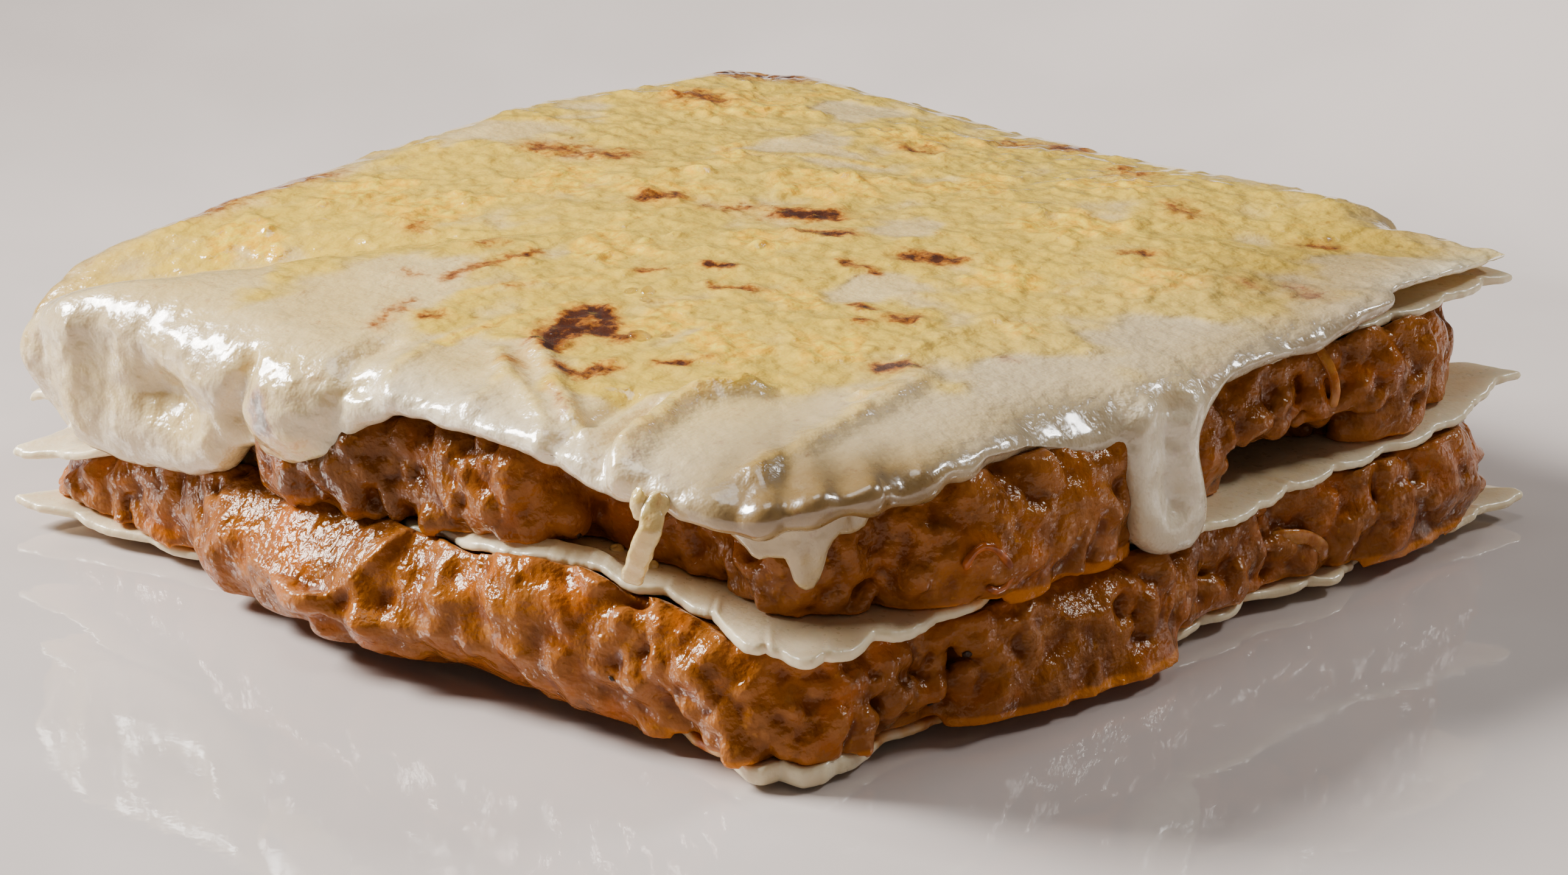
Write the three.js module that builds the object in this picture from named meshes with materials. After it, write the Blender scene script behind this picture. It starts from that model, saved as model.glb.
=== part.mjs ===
// A square portion of meat lasagna on a round white plate.
// Millimetres, +Z up. The origin is the centre of the plate's foot, on the table.
// The portion's sides lie along X and Y. Its sheets, meat layers and topping are
// closed shells built ring by ring round the square, on one shared set of height
// functions, so that each layer rests on the one below with a small clearance.
import * as THREE from 'three';

// ---------- plate ----------
const PLATE_R = 145;          // outer radius
const PLATE_RIM_Z = 23.0;     // height of the rim
const FOOT_IN = 82.2, FOOT_OUT = 85.8; // flat ring that stands on the table
const UNDERSIDE_Z = 3.0;      // underside of the centre
const WELL_Z = 7.0;           // top of the flat well
const WELL_R = 95;            // radius of the flat well
const PLATE_SEGMENTS = 56;

// ---------- portion ----------
const HALF = 42.5;            // half the side of the square portion
const SIDE = 2 * HALF;
const PERIMETER = 4 * SIDE;
const N = 120;                // samples round the portion, 30 a side
const STEP = PERIMETER / N;
const GAP = 0.36;             // clearance between neighbouring layers
const SHEET = 1.3;            // thickness of a cooked pasta sheet
const INNER = 0.8;            // every layer shares a ring at this share of the outline
const CRIMP = 0.45;           // the sheets' crimped edge, plus and minus

// Heights above the well, at the middle of the portion.
const Z_SHEET_1 = 0.3;        // underside of the bottom sheet
const Z_SHEET_2 = 9.6;        // underside of the middle sheet
const Z_SHEET_3 = 19.3;       // underside of the top sheet
const Z_CROWN = 24.3;         // top of the sauce and cheese topping

// Perimeter coordinate s, in mm, from the left corner (-X, -Y) along the -Y side to the
// front corner (+X, -Y), up the +X side to the right corner (+X, +Y), then the back.
const LEFT = 0, FRONT = SIDE, RIGHT = 2 * SIDE, BACK = 3 * SIDE;

const along = (s, c) => {     // signed distance round the perimeter
  let d = (s - c) % PERIMETER;
  if (d > PERIMETER / 2) d -= PERIMETER;
  if (d < -PERIMETER / 2) d += PERIMETER;
  return d;
};
const hump = (s, c, w, p = 2) => Math.exp(-Math.pow(Math.abs(along(s, c) / w), p));
const wave = (s, n, phase) => Math.sin((2 * Math.PI * n * s) / PERIMETER + phase);
// Rounds a corner of radius r: how far the outline falls inside the square's corner.
const corner = (s, c, r) => {
  const t = Math.max(0, 1 - Math.abs(along(s, c)) / r);
  return 0.293 * r * t * t;
};
const sum = (s, list) => list.reduce((z, [c, w, a, p]) => z + a * hump(s, c, w, p), 0);

function square(s) {          // the nominal square outline
  const side = Math.floor(s / SIDE) % 4, t = (s % SIDE) - HALF;
  return [[t, -HALF], [HALF, t], [-t, HALF], [-HALF, -t]][side];
}

// ---------- pasta sheets ----------
// how far each sheet's edge stands out of the square
const sheetOut = [
  (s) => -1.2 - corner(s, FRONT, 7) + sum(s, [[LEFT, 5, 1.3], [22, 12, -1.2], [50, 20, -1.6], [FRONT, 9, 0.9],
    [120, 12, -0.6], [163, 9, 2.0], [RIGHT, 4, 1.0], [BACK, 8, 1.6], [150, 10, 0.8]]) + 0.25 * wave(s, 9, 1),
  (s) => -0.6 - corner(s, FRONT, 4) + sum(s, [[LEFT, 5, 0.5], [30, 14, -0.8], [62, 6, -1.4], [FRONT + 2.5, 6, 1.7],
    [108, 13, -1.6], [128, 8, 0.4], [RIGHT, 7, 0.9], [BACK, 8, 1.4]]) + 0.3 * wave(s, 8, 2.2),
  (s) => -1.9 - corner(s, FRONT, 9) - corner(s, BACK, 7) + sum(s, [[LEFT, 4, 1.0], [RIGHT, 6, 1.6]])
    + 0.2 * wave(s, 7, 0.4),
];
// height of each sheet's underside at its edge
const sheetEdgeZ = [
  (s) => 0.45 + sum(s, [[60, 14, 0.9], [LEFT, 9, 0.9], [RIGHT, 9, 0.7], [140, 14, 0.2], [212, 14, 0.8], [300, 18, 0.7]]),
  (s) => Z_SHEET_2 + sum(s, [[LEFT, 11, -4.2], [62, 13, 1.9], [125, 25, -0.5], [RIGHT, 9, 1.6], [BACK, 20, 0.7],
    [215, 12, -0.6]]),
  (s) => Z_SHEET_3 - 0.2 + sum(s, [[LEFT, 10, -9.2], [RIGHT, 12, 0.3], [BACK, 20, 0.7], [290, 18, 0.6]]),
];
const sheetMidZ = [Z_SHEET_1, Z_SHEET_2, Z_SHEET_3];
const bend = (k) => Math.pow(Math.max(0, (k - 0.5) / 0.5), 1.7);
// Underside of sheet i. Between the shared ring and the edge it is straight.
function sheetZ(i, s, k) {
  const at = (q) => sheetMidZ[i] + (sheetEdgeZ[i](s) - sheetMidZ[i]) * bend(q);
  const edge = 1 + sheetOut[i](s) / HALF;
  if (k <= INNER) return at(k);
  return at(INNER) + ((at(1) - at(INNER)) * (k - INNER)) / (edge - INNER);
}

// ---------- sauce and cheese topping ----------
// Drips of the topping's hem: where, half width, how far it hangs, how square its end is.
const DRIPS = [
  [7, 22, 11.5, 8], [35.5, 6.5, 6.0, 4], [66, 5, 0.6, 2], [79, 4, 1.2, 4], [86, 2.9, 4.4, 4],
  [96.5, 3, 0.6, 2], [117, 6.5, 2.6, 4], [124.4, 4.0, 8.6, 6], [190, 7, 4.6, 4], [207, 4.5, 8.2, 6],
  [228, 9, 3.4, 4], [246, 6, 6.2, 4], [268, 8, 3.2, 4], [283, 4, 7.4, 6], [305, 10, 4.6, 4],
];
const HEM_Z = 20.3;
const bare = (s) => hump(s, RIGHT, 8, 4);           // the right corner, where the top sheet shows
const hang = (s) => DRIPS.reduce((z, [c, w, a, p]) => z + a * hump(s, c, w, p), 0);
const hemZ = (s) => HEM_Z - hang(s) + 1.6 * hump(s, 157, 12, 4);
const hemOut = (s) => 1.5 + 0.05 * hang(s) - corner(s, LEFT, 9) - corner(s, FRONT, 9) - corner(s, BACK, 10)
  - 3.4 * bare(s) + 0.9 * hump(s, 124.4, 5) + 0.3 * wave(s, 11, 0.7);
const HEM_THICK = 2.2;
const shoulderZ = (s) => 22.9 + sum(s, [[286, 24, 1.6], [222, 14, -0.7], [LEFT, 8, -3.2], [190, 12, 0.5],
  [RIGHT, 7, -0.6], [328, 7, -0.5]]);

// ---------- meat layers ----------
// how far each meat layer's foot stands out of the square
const meatOut = [
  (s) => -2.0 - corner(s, LEFT, 9) - corner(s, FRONT, 8) - corner(s, RIGHT, 12) - corner(s, BACK, 10)
    + sum(s, [[12, 14, -0.8], [38, 12, 2.2, 4], [62, 12, 1.4], [112, 12, 2.6, 4], [150, 16, 1.2, 4],
      [200, 12, 1.4], [232, 10, -0.8], [275, 14, 1.2], [310, 12, -0.6]]) + 0.4 * wave(s, 13, 0.3),
  (s) => -2.9 - corner(s, LEFT, 10) - corner(s, FRONT, 15) - corner(s, RIGHT, 9) - corner(s, BACK, 11)
    + sum(s, [[14, 16, -1.6, 4], [62, 3, -2.6], [74, 8, -3.6, 4], [108, 11, 3.0, 4], [124.4, 5, -1.2, 4],
      [132, 3.4, -1.0], [160, 6, 1.6], [190, 9, -0.8], [207, 6, -1.4], [228, 10, 0.9], [246, 7, -1.2],
      [283, 6, -1.4], [305, 10, -0.8]]) + 0.4 * wave(s, 14, 1.9),
];
// how far each layer bulges beyond its foot half way up
const meatBulge = [
  (s) => 2.4 + 1.3 * hump(s, 44, 18, 4) - 1.4 * hump(s, 12, 10) - 0.6 * hump(s, 145, 14, 4) + 0.4 * wave(s, 17, 2),
  (s) => 1.5 - 0.9 * hump(s, 10, 16, 4) + 0.8 * hump(s, 55, 8) + 0.9 * hump(s, 108, 9) - 0.8 * hump(s, 124.4, 5)
    + 0.3 * wave(s, 16, 0.5),
];
// the hollow under the +Y end of the upper layer's +X side, where the middle sheet shows
const HOLLOW_DEPTH = 8;
const hollow = [() => 0, (s) => HOLLOW_DEPTH * hump(s, 145, 11.5, 6)];

// ---------- ring-built solids ----------
// rings: lists of N [x, y, z], from the middle of the underside to the middle of the top.
function ringSolid(low, rings, high) {
  const v = [low, ...rings.flat(), high].flat(), f = [], last = 1 + rings.length * N;
  const id = (r, j) => 1 + r * N + (j % N);
  for (let j = 0; j < N; j++) {
    f.push(0, id(0, j + 1), id(0, j));
    for (let r = 0; r + 1 < rings.length; r++) {
      const a = id(r, j), b = id(r, j + 1), c = id(r + 1, j + 1), d = id(r + 1, j);
      f.push(a, b, c, a, c, d);
    }
    f.push(last, id(rings.length - 1, j), id(rings.length - 1, j + 1));
  }
  const g = new THREE.BufferGeometry();
  g.setAttribute('position', new THREE.Float32BufferAttribute(v, 3));
  g.setIndex(f);
  g.computeVertexNormals();
  return g;
}
const samples = Array.from({ length: N }, (_, j) => j * STEP);
const ring = (k, z) => samples.map((s, j) => {
  const [x, y] = square(s), q = k(s, j);
  return [x * q, y * q, WELL_Z + z(s, q, j)];
});
const out = (mm) => 1 + mm / HALF;

function pastaSheet(i) {
  const edge = (s, j) => out(sheetOut[i](s) + (j % 2 ? -CRIMP : CRIMP));
  const under = (s, k) => sheetZ(i, s, k);
  const over = (s, k) => under(s, k) + SHEET;
  return ringSolid([0, 0, WELL_Z + sheetMidZ[i]],
    [ring(() => INNER, under), ring(edge, under), ring(edge, over), ring(() => INNER, over)],
    [0, 0, WELL_Z + sheetMidZ[i] + SHEET]);
}

function meatLayer(i) {
  const floor = (s, k) => sheetZ(i, s, k) + SHEET + GAP;
  const ceiling = (s, k) => sheetZ(i + 1, s, k) - GAP - 0.25 * hump(s, LEFT, 14);
  const inmost = (INNER - 1) * HALF + 0.6;
  const wall = (s, bulge, hole) => Math.max(inmost, meatOut[i](s) + bulge * meatBulge[i](s) - hole * hollow[i](s));
  const level = (t, bulge, hole) => ring((s) => out(wall(s, bulge, hole)), (s, k) => {
    const inside = Math.min(k, 1 + (Math.min(sheetOut[i](s), sheetOut[i + 1](s)) - CRIMP) / HALF);
    const a = floor(s, inside), b = ceiling(s, inside);
    return a + (b - a) * t;
  });
  const rim = (n, hole) => (s) => out(Math.min(wall(s, 0, hole), sheetOut[n](s) - CRIMP - 0.2));
  return ringSolid([0, 0, WELL_Z + sheetMidZ[i] + SHEET + GAP],
    [ring(() => INNER, floor), ring(rim(i, 1), floor),
      level(0.16, 0.55, 1), level(0.42, 1, 0.85), level(0.72, 0.75, 0.1),
      ring(rim(i + 1, 0), ceiling), ring(() => INNER, ceiling)],
    [0, 0, WELL_Z + sheetMidZ[i + 1] - GAP]);
}

function topping() {
  const seat = (s, k) => sheetZ(2, s, k) + SHEET + GAP + 0.25 * hump(s, LEFT, 16);
  const overEdge = (s) => sheetOut[2](s) + CRIMP + 0.4;     // just outside the top sheet
  // the hem hangs outside the sheet, apart from two corners where it ends on it
  const hangs = (s) => hemOut(s) - 1.3 > overEdge(s);
  const inner = (s) => (hangs(s) ? Math.max(overEdge(s) + 0.1, hemOut(s) - HEM_THICK) : hemOut(s) - 0.6);
  const foot = (s) => (hangs(s) ? overEdge(s) : hemOut(s) - 1.0);
  const seatEdge = (s) => seat(s, out(foot(s)));
  const low = (s) => {
    if (!hangs(s)) return seatEdge(s) + 0.1;
    const turn = !hangs(s - STEP) || !hangs(s + STEP);      // beside the place where it ends
    return Math.min(Math.max(hemZ(s), turn ? seatEdge(s) - 0.9 : 0), seatEdge(s) - 0.4);
  };
  const crown = (s) => shoulderZ(s) + (Z_CROWN - shoulderZ(s)) * 0.8;
  return ringSolid([0, 0, WELL_Z + Z_SHEET_3 + SHEET + GAP],
    [ring(() => INNER, seat), ring((s) => out(foot(s)), seat),
      ring((s) => out(inner(s)), (s) => (hangs(s) ? low(s) + 0.4 : seat(s, out(inner(s))))),
      ring((s) => out(hemOut(s) - 0.3), low),
      ring((s) => out(hemOut(s)), (s) => low(s) + 0.35 * (shoulderZ(s) - 1.6 - low(s))),
      ring((s) => out(hemOut(s) - 0.8), (s) => Math.max(shoulderZ(s) - 1.4, low(s) + 0.7)),
      ring((s) => out(hemOut(s) - 4.2), shoulderZ),
      ring(() => 0.55, crown)],
    [0, 0, WELL_Z + Z_CROWN]);
}

// A melted shred of cheese that hangs from the hem by the front corner.
const SHRED_W = 2.3, SHRED_T = 1.2;
function shred() {
  const path = new THREE.CatmullRomCurve3([
    [31.9, -45.6, 20.6], [32.2, -46.0, 18.6], [31.4, -45.9, 16.2], [30.6, -45.6, 13.6]]
    .map(([x, y, z]) => new THREE.Vector3(x, y, WELL_Z + z)));
  const section = new THREE.Shape(Array.from({ length: 8 }, (_, i) => {
    const a = ((i + 0.5) / 8) * 2 * Math.PI;
    return new THREE.Vector2((SHRED_T / 2) * Math.cos(a), (SHRED_W / 2) * Math.sin(a));
  }));
  return new THREE.ExtrudeGeometry(section, { extrudePath: path, steps: 7, bevelEnabled: false });
}

function plate() {
  const rise = (r) => {       // top of the plate, level over the well and then a smooth sweep
    const t = Math.max(0, r - WELL_R) / (PLATE_R - WELL_R);
    return WELL_Z + (PLATE_RIM_Z - WELL_Z) * Math.pow(t, 1.75);
  };
  const wall = 3.9;           // thickness of the plate, level over the well
  const outer = [98, 112, 125, 136].map((r) => [r + 1.2, rise(r) - wall + 0.4]);
  const inner = [138, 127, 116, 105].map((r) => [r, rise(r)]);
  const profile = [[0, UNDERSIDE_Z], [80.6, UNDERSIDE_Z - 0.3], [FOOT_IN, 0], [FOOT_OUT, 0],
    [88, UNDERSIDE_Z + 0.2], ...outer, [PLATE_R, PLATE_RIM_Z - 1.4],
    [PLATE_R - 1.2, PLATE_RIM_Z], ...inner, [WELL_R, WELL_Z], [0, WELL_Z]];
  const g = new THREE.LatheGeometry(profile.map(([r, z]) => new THREE.Vector2(r, z)), PLATE_SEGMENTS);
  return g.rotateX(Math.PI / 2);
}

// ---------- scene graph ----------
const finish = (color, roughness) => new THREE.MeshStandardMaterial({ color, roughness, metalness: 0 });
const GLAZE = finish(0xdedbd8, 0.12), PASTA = finish(0xd9cba6, 0.4), MEAT = finish(0x9a4c1c, 0.3),
  CREAM = finish(0xe4dfcd, 0.3), CHEESE = finish(0xe0d6b4, 0.35);

const group = new THREE.Group();
const add = (name, geometry, material) => {
  const m = new THREE.Mesh(geometry, material);
  m.name = name;
  group.add(m);
};
add('plate', plate(), GLAZE);
add('pasta_sheet_bottom', pastaSheet(0), PASTA);
add('meat_layer_lower', meatLayer(0), MEAT);
add('pasta_sheet_middle', pastaSheet(1), PASTA);
add('meat_layer_upper', meatLayer(1), MEAT);
add('pasta_sheet_top', pastaSheet(2), PASTA);
add('cream_cheese_topping', topping(), CREAM);
add('cheese_shred', shred(), CHEESE);

export default group;
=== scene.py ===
"""A square portion of meat lasagna on a round white plate: pasta sheets, minced meat in
sauce, and a browned topping of white sauce and melted cheese.

All shapes are worked out in millimetres in the part's own frame and scaled to metres when
the meshes are made. The portion is described by s, the distance round its square outline
from the left corner, and k, the share of the way from its middle to that outline.
"""
import bpy
import math
import numpy as np
from mathutils.bvhtree import BVHTree
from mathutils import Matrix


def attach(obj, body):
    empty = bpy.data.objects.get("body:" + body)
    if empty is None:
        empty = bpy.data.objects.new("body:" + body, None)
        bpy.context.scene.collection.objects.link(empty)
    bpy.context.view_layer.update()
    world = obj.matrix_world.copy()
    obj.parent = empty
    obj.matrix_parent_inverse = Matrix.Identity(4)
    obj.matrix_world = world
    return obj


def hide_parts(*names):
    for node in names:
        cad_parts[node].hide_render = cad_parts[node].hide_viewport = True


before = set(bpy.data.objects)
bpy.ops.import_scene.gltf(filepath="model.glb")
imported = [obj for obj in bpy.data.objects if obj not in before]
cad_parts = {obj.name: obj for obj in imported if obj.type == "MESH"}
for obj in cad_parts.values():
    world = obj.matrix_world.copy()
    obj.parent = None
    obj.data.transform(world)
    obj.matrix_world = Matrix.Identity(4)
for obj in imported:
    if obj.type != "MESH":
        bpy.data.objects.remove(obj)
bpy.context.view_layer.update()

HALF, SIDE, PERIMETER = 42.5, 85.0, 340.0
WELL_Z = 7.0
SHEET = 1.25
LEFT, FRONT, RIGHT, BACK = 0.0, 85.0, 170.0, 255.0
Z_SHEET = (0.3, 9.6, 19.3)
Z_CROWN = 24.3
SEED = 7


# ---------------------------------------------------------------- numbers
def along(s, c):
    return (s - c + PERIMETER / 2) % PERIMETER - PERIMETER / 2


def hump(s, c, w, p=2):
    return np.exp(-np.abs(along(s, c) / w) ** p)


def wave(s, n, phase):
    return np.sin(2 * np.pi * n * s / PERIMETER + phase)


def corner(s, c, r):
    t = np.maximum(0, 1 - np.abs(along(s, c)) / r)
    return 0.293 * r * t * t


def total(s, rows):
    z = 0.0
    for row in rows:
        c, w, a = row[:3]
        z = z + a * hump(s, c, w, row[3] if len(row) > 3 else 2)
    return z


def smooth(a, b, x):
    t = np.clip((x - a) / (b - a), 0, 1)
    return t * t * (3 - 2 * t)


def square(s):
    side = np.floor(s / SIDE).astype(int) % 4
    t = s % SIDE - HALF
    h = np.full_like(t, HALF)
    return np.choose(side, [t, h, -t, -h]), np.choose(side, [-h, t, h, -t])


def locate(x, y):
    """(s, k) of points."""
    k = np.maximum(np.maximum(np.abs(x), np.abs(y)) / HALF, 1e-6)
    low = (np.abs(y) >= np.abs(x)) & (y < 0)
    high = (np.abs(y) >= np.abs(x)) & (y >= 0)
    right = ~low & ~high & (x > 0)
    s = np.where(low, x / k + HALF, np.where(right, SIDE + y / k + HALF,
        np.where(high, 2 * SIDE - x / k + HALF, 3 * SIDE - y / k + HALF)))
    return s % PERIMETER, k


# Perlin noise at points, in about -1..1
_perm = np.random.default_rng(SEED).permutation(4096)
_grad = np.random.default_rng(SEED + 1).normal(size=(4096, 3))
_grad /= np.linalg.norm(_grad, axis=1, keepdims=True)


def noise(p, size, seed=0):
    q = np.asarray(p, float) / size + seed * 17.31 + 1000.0
    i = np.floor(q).astype(np.int64)
    f = q - i
    u = f * f * f * (f * (f * 6 - 15) + 10)
    out = 0.0
    for dx in (0, 1):
        for dy in (0, 1):
            for dz in (0, 1):
                h = _perm[(i[..., 0] + dx) & 4095]
                h = _perm[(h + i[..., 1] + dy) & 4095]
                h = _perm[(h + i[..., 2] + dz) & 4095]
                g = _grad[h]
                d = g[..., 0] * (f[..., 0] - dx) + g[..., 1] * (f[..., 1] - dy) + g[..., 2] * (f[..., 2] - dz)
                w = (u[..., 0] if dx else 1 - u[..., 0]) * (u[..., 1] if dy else 1 - u[..., 1]) \
                    * (u[..., 2] if dz else 1 - u[..., 2])
                out = out + d * w
    return out * 1.6


def flat(x, y, z=0.0):
    return np.stack([x, y, np.broadcast_to(z, np.shape(x))], -1)


# ---------------------------------------------------------------- layers
def sheet_out(i, s):
    if i == 0:
        return -1.2 - corner(s, FRONT, 7) + total(s, [(LEFT, 5, 1.3), (22, 12, -1.2), (50, 20, -1.6), (FRONT + 1, 7, 1.7, 4),
            (107, 17, 0.5, 4), (126, 12, 1.5, 4), (144, 4.5, 1.9, 4), (166, 8, 1.3, 4), (RIGHT, 4, 0.4), (BACK, 8, 1.6), (72, 6, -0.8)]) + 0.25 * wave(s, 9, 1)
    if i == 1:
        return -0.6 - corner(s, FRONT, 4) + total(s, [(LEFT, 5, 0.5), (23, 10, -2.6, 4), (37, 7.5, -2.2, 4), (62, 6, -1.0), (76, 5.5, -2.3, 4), (80.6, 2.2, 0.9), (57.5, 6.5, 1.9, 4), (FRONT + 4.6, 3.6, 2.0, 4), (101, 8, 2.3, 4),
            (114, 8, -1.4), (131, 6, 1.2), (144, 20, 1.5, 6), (RIGHT, 7, -0.4), (BACK, 8, 1.4)]) + 0.3 * wave(s, 8, 2.2)
    return -1.9 - corner(s, FRONT, 9) - corner(s, BACK, 7) + total(s, [(LEFT, 4, 1.0), (160, 7, 0.7), (RIGHT, 6, 0.6)]) \
        + 0.2 * wave(s, 7, 0.4)


def sheet_edge_z(i, s):
    if i == 0:
        return 0.45 + total(s, [(60, 14, 0.9), (LEFT, 9, 0.9), (RIGHT, 9, 0.7), (137, 11, 0.35), (212, 14, 0.8), (300, 18, 0.7)])
    if i == 1:
        return Z_SHEET[1] + total(s, [(LEFT, 11, -4.2), (62, 13, 1.9), (125, 25, -0.5), (RIGHT, 9, 1.6), (BACK, 20, 0.7),
            (215, 12, -0.6)])
    return Z_SHEET[2] - 0.2 + total(s, [(LEFT, 10, -9.2), (RIGHT, 12, 0.3), (BACK, 20, 0.7), (290, 18, 0.6)])


def bend(k):
    return np.maximum(0, (k - 0.5) / 0.5) ** 1.7


def sheet_z(i, s, k):
    """Underside of sheet i."""
    mid, rim = Z_SHEET[i], sheet_edge_z(i, s)
    k = np.asarray(k)
    near = mid + (rim - mid) * bend(np.minimum(k, 0.8))
    edge = 1 + sheet_out(i, s) / HALF
    a, b = mid + (rim - mid) * bend(np.float64(0.8)), rim
    far = a + (b - a) * (k - 0.8) / (edge - 0.8)
    return np.where(k <= 0.8, near, far)


# hem of the topping, measured round the outline: s, height of its lower edge
HEM = [(0, 11.8), (3, 12.6), (5.5, 11.6), (8.5, 9.9), (10.6, 9.0), (15.7, 8.7), (22, 9.3), (26, 10.8), (28.3, 12.9),
    (30.2, 13.9), (33.5, 13.6), (37, 13.9), (40.3, 15.6), (42.3, 17.9), (45.8, 19.6), (50, 19.9), (54.8, 20.3), (59, 20.3),
    (62.4, 19.9), (65.2, 19.7), (67.1, 19.1), (68.5, 19.4), (70.8, 19.7), (73.7, 19.5), (74.9, 19.0), (76.2, 19.1), (77.7, 19.0), (79.4, 18.9), (81, 18.85),
    (82.8, 19.1), (85.2, 19.55), (87.6, 20.1), (90.5, 20.3), (93.3, 20.4), (95.1, 20.0), (97.4, 19.35), (99.5, 19.6), (100.6, 20.4),
    (103.4, 19.6), (104.6, 20.3), (109.5, 19.7), (112.7, 18.3), (115.2, 17.3), (118.6, 17.2), (119.5, 16.6), (119.8, 13.5),
    (120.3, 10.9), (121.6, 9.8), (123.5, 9.1), (125.6, 9.0), (127.0, 9.6), (127.5, 11.6), (127.9, 15.2), (128.4, 18.6),
    (130.4, 20.4), (133, 20.8), (138.7, 20.4), (141.9, 20.1), (143.2, 20.5), (144.8, 21.2), (148, 22.0), (153.8, 22.3), (160, 22.0), (164, 21.7), (170, 21.6),
    (176, 21.2), (182, 18.4), (187, 15.8), (193, 15.6), (198, 18.2), (202, 17.2), (205, 12.6), (208, 11.6), (211, 13.0),
    (214, 17.6), (220, 18.6), (226, 16.6), (231, 16.4), (236, 18.2), (241, 16.4), (245, 13.8), (249, 14.2), (252, 17.2),
    (257, 19.2), (262, 18.0), (268, 16.6), (273, 18.4), (278, 17.4), (281, 13.2), (284, 12.2), (287, 13.6), (291, 18.2),
    (297, 17.0), (303, 15.2), (309, 15.6), (315, 17.6), (321, 16.6), (327, 13.6), (332, 11.2), (336, 10.8), (340, 11.8)]


def gauss_loop(values, step, sigma):
    """Smooths samples round the closed outline."""
    n = len(values)
    f = np.fft.rfft(values)
    w = 2 * np.pi * np.fft.rfftfreq(n, d=step)
    return np.fft.irfft(f * np.exp(-0.5 * (w * sigma) ** 2), n)


_hs = np.arange(0, PERIMETER, 0.1)
_table = sorted(HEM)
_hz = gauss_loop(np.interp(_hs, [a for a, _ in _table], [b for _, b in _table]), 0.1, 0.3)
_hz = _hz + 0.12 * noise(flat(_hs, 0 * _hs), 2.6, 3) + 0.05 * noise(flat(_hs, 0 * _hs), 0.9, 4)


def hem_z(s):
    return np.interp(s % PERIMETER, np.append(_hs, PERIMETER), np.append(_hz, _hz[0]))


def bare(s):
    return hump(s, 168, 16.5, 12)


def hem_out(s):
    hang = 20.3 - hem_z(s)
    return 1.4 + 0.06 * hang - corner(s, LEFT, 10) - corner(s, FRONT, 10) - corner(s, BACK, 10) - 2.6 * bare(s) \
        + 0.9 * hump(s, 124.4, 5) + total(s, [(35, 6, 0.5), (56, 6, 0.4), (75, 7, 0.5), (15, 8, -0.2)]) + 0.3 * wave(s, 11, 0.7)


def shoulder_z(s):
    return 22.9 + total(s, [(286, 24, 1.6), (222, 14, -0.7), (LEFT, 8, -3.2), (190, 12, 0.5), (RIGHT, 7, -0.6),
        (328, 7, -0.5)])


def meat_out(i, s):
    if i == 0:
        return -2.0 - corner(s, LEFT, 9) - corner(s, FRONT, 8) - corner(s, RIGHT, 12) - corner(s, BACK, 10) \
            + total(s, [(13, 11, -1.6, 4), (38, 12, 2.2, 4), (42.5, 4.5, 2.0, 4), (62, 12, 1.4), (113.5, 11.5, 2.3, 8), (128.5, 11, 1.0, 4), (155, 9, 1.4, 6),
                (200, 12, 1.4), (232, 10, -0.8), (275, 14, 1.2), (310, 12, -0.6)])
    return -2.9 - corner(s, LEFT, 10) - corner(s, FRONT, 15) - corner(s, RIGHT, 14) - corner(s, BACK, 11) \
        + total(s, [(14, 16, -1.6, 4), (36, 8, 2.6, 4), (54.5, 6.2, 0.9, 6), (63, 3, -3.6), (73, 9, -5.4, 4), (98, 6, -0.8, 4), (109.5, 12.4, 3.0, 8), (125.4, 4.2, -1.6, 4),
            (152.8, 4.7, 1.5, 4), (158.8, 1.6, -1.0), (190, 9, -0.8), (207, 6, -1.4), (228, 10, 0.9), (246, 7, -1.2),
            (283, 6, -1.4), (305, 10, -0.8)])


def meat_bulge(i, s):
    if i == 0:
        return 2.2 + 1.3 * hump(s, 44, 18, 4) - 1.2 * hump(s, 12, 10) - 1.6 * hump(s, 136.5, 9.5, 8)
    return 1.5 - 0.9 * hump(s, 10, 16, 4) + 0.8 * hump(s, 55, 8) + 0.9 * hump(s, 109, 10, 4) - 0.8 * hump(s, 125.4, 4)


# ---------------------------------------------------------------- meshes
def make_mesh(name, verts, faces, attrs=None, shade=True):
    """verts in mm above the table; faces is a list of integer arrays, one for each face size."""
    me = bpy.data.meshes.new(name)
    verts = np.asarray(verts, np.float32) * 0.001
    me.vertices.add(len(verts))
    me.vertices.foreach_set("co", verts.ravel())
    faces = [f for f in faces if len(f)]
    loops = np.concatenate([f.ravel() for f in faces]).astype(np.int32)
    sizes = np.concatenate([np.full(len(f), f.shape[1]) for f in faces]).astype(np.int32)
    starts = np.concatenate([[0], np.cumsum(sizes)[:-1]]).astype(np.int32)
    me.loops.add(len(loops))
    me.loops.foreach_set("vertex_index", loops)
    me.polygons.add(len(sizes))
    me.polygons.foreach_set("loop_start", starts)
    me.polygons.foreach_set("loop_total", sizes)
    me.polygons.foreach_set("use_smooth", np.full(len(sizes), shade))
    me.update(calc_edges=True)
    for key, val in (attrs or {}).items():
        val = np.asarray(val, np.float32)
        a = me.attributes.new(key, "FLOAT", "POINT")
        a.data.foreach_set("value", val)
    me.validate()
    o = bpy.data.objects.new(name, me)
    bpy.context.scene.collection.objects.link(o)
    return o


def grid_faces(rows, cols, wrap=True, flip=False):
    i = np.arange(rows - 1)[:, None]
    j = np.arange(cols if wrap else cols - 1)[None, :]
    a = i * cols + j
    b = i * cols + (j + 1) % cols
    c = (i + 1) * cols + (j + 1) % cols
    d = (i + 1) * cols + j
    q = np.stack([a, b, c, d], -1).reshape(-1, 4)
    return q[:, ::-1] if flip else q


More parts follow.
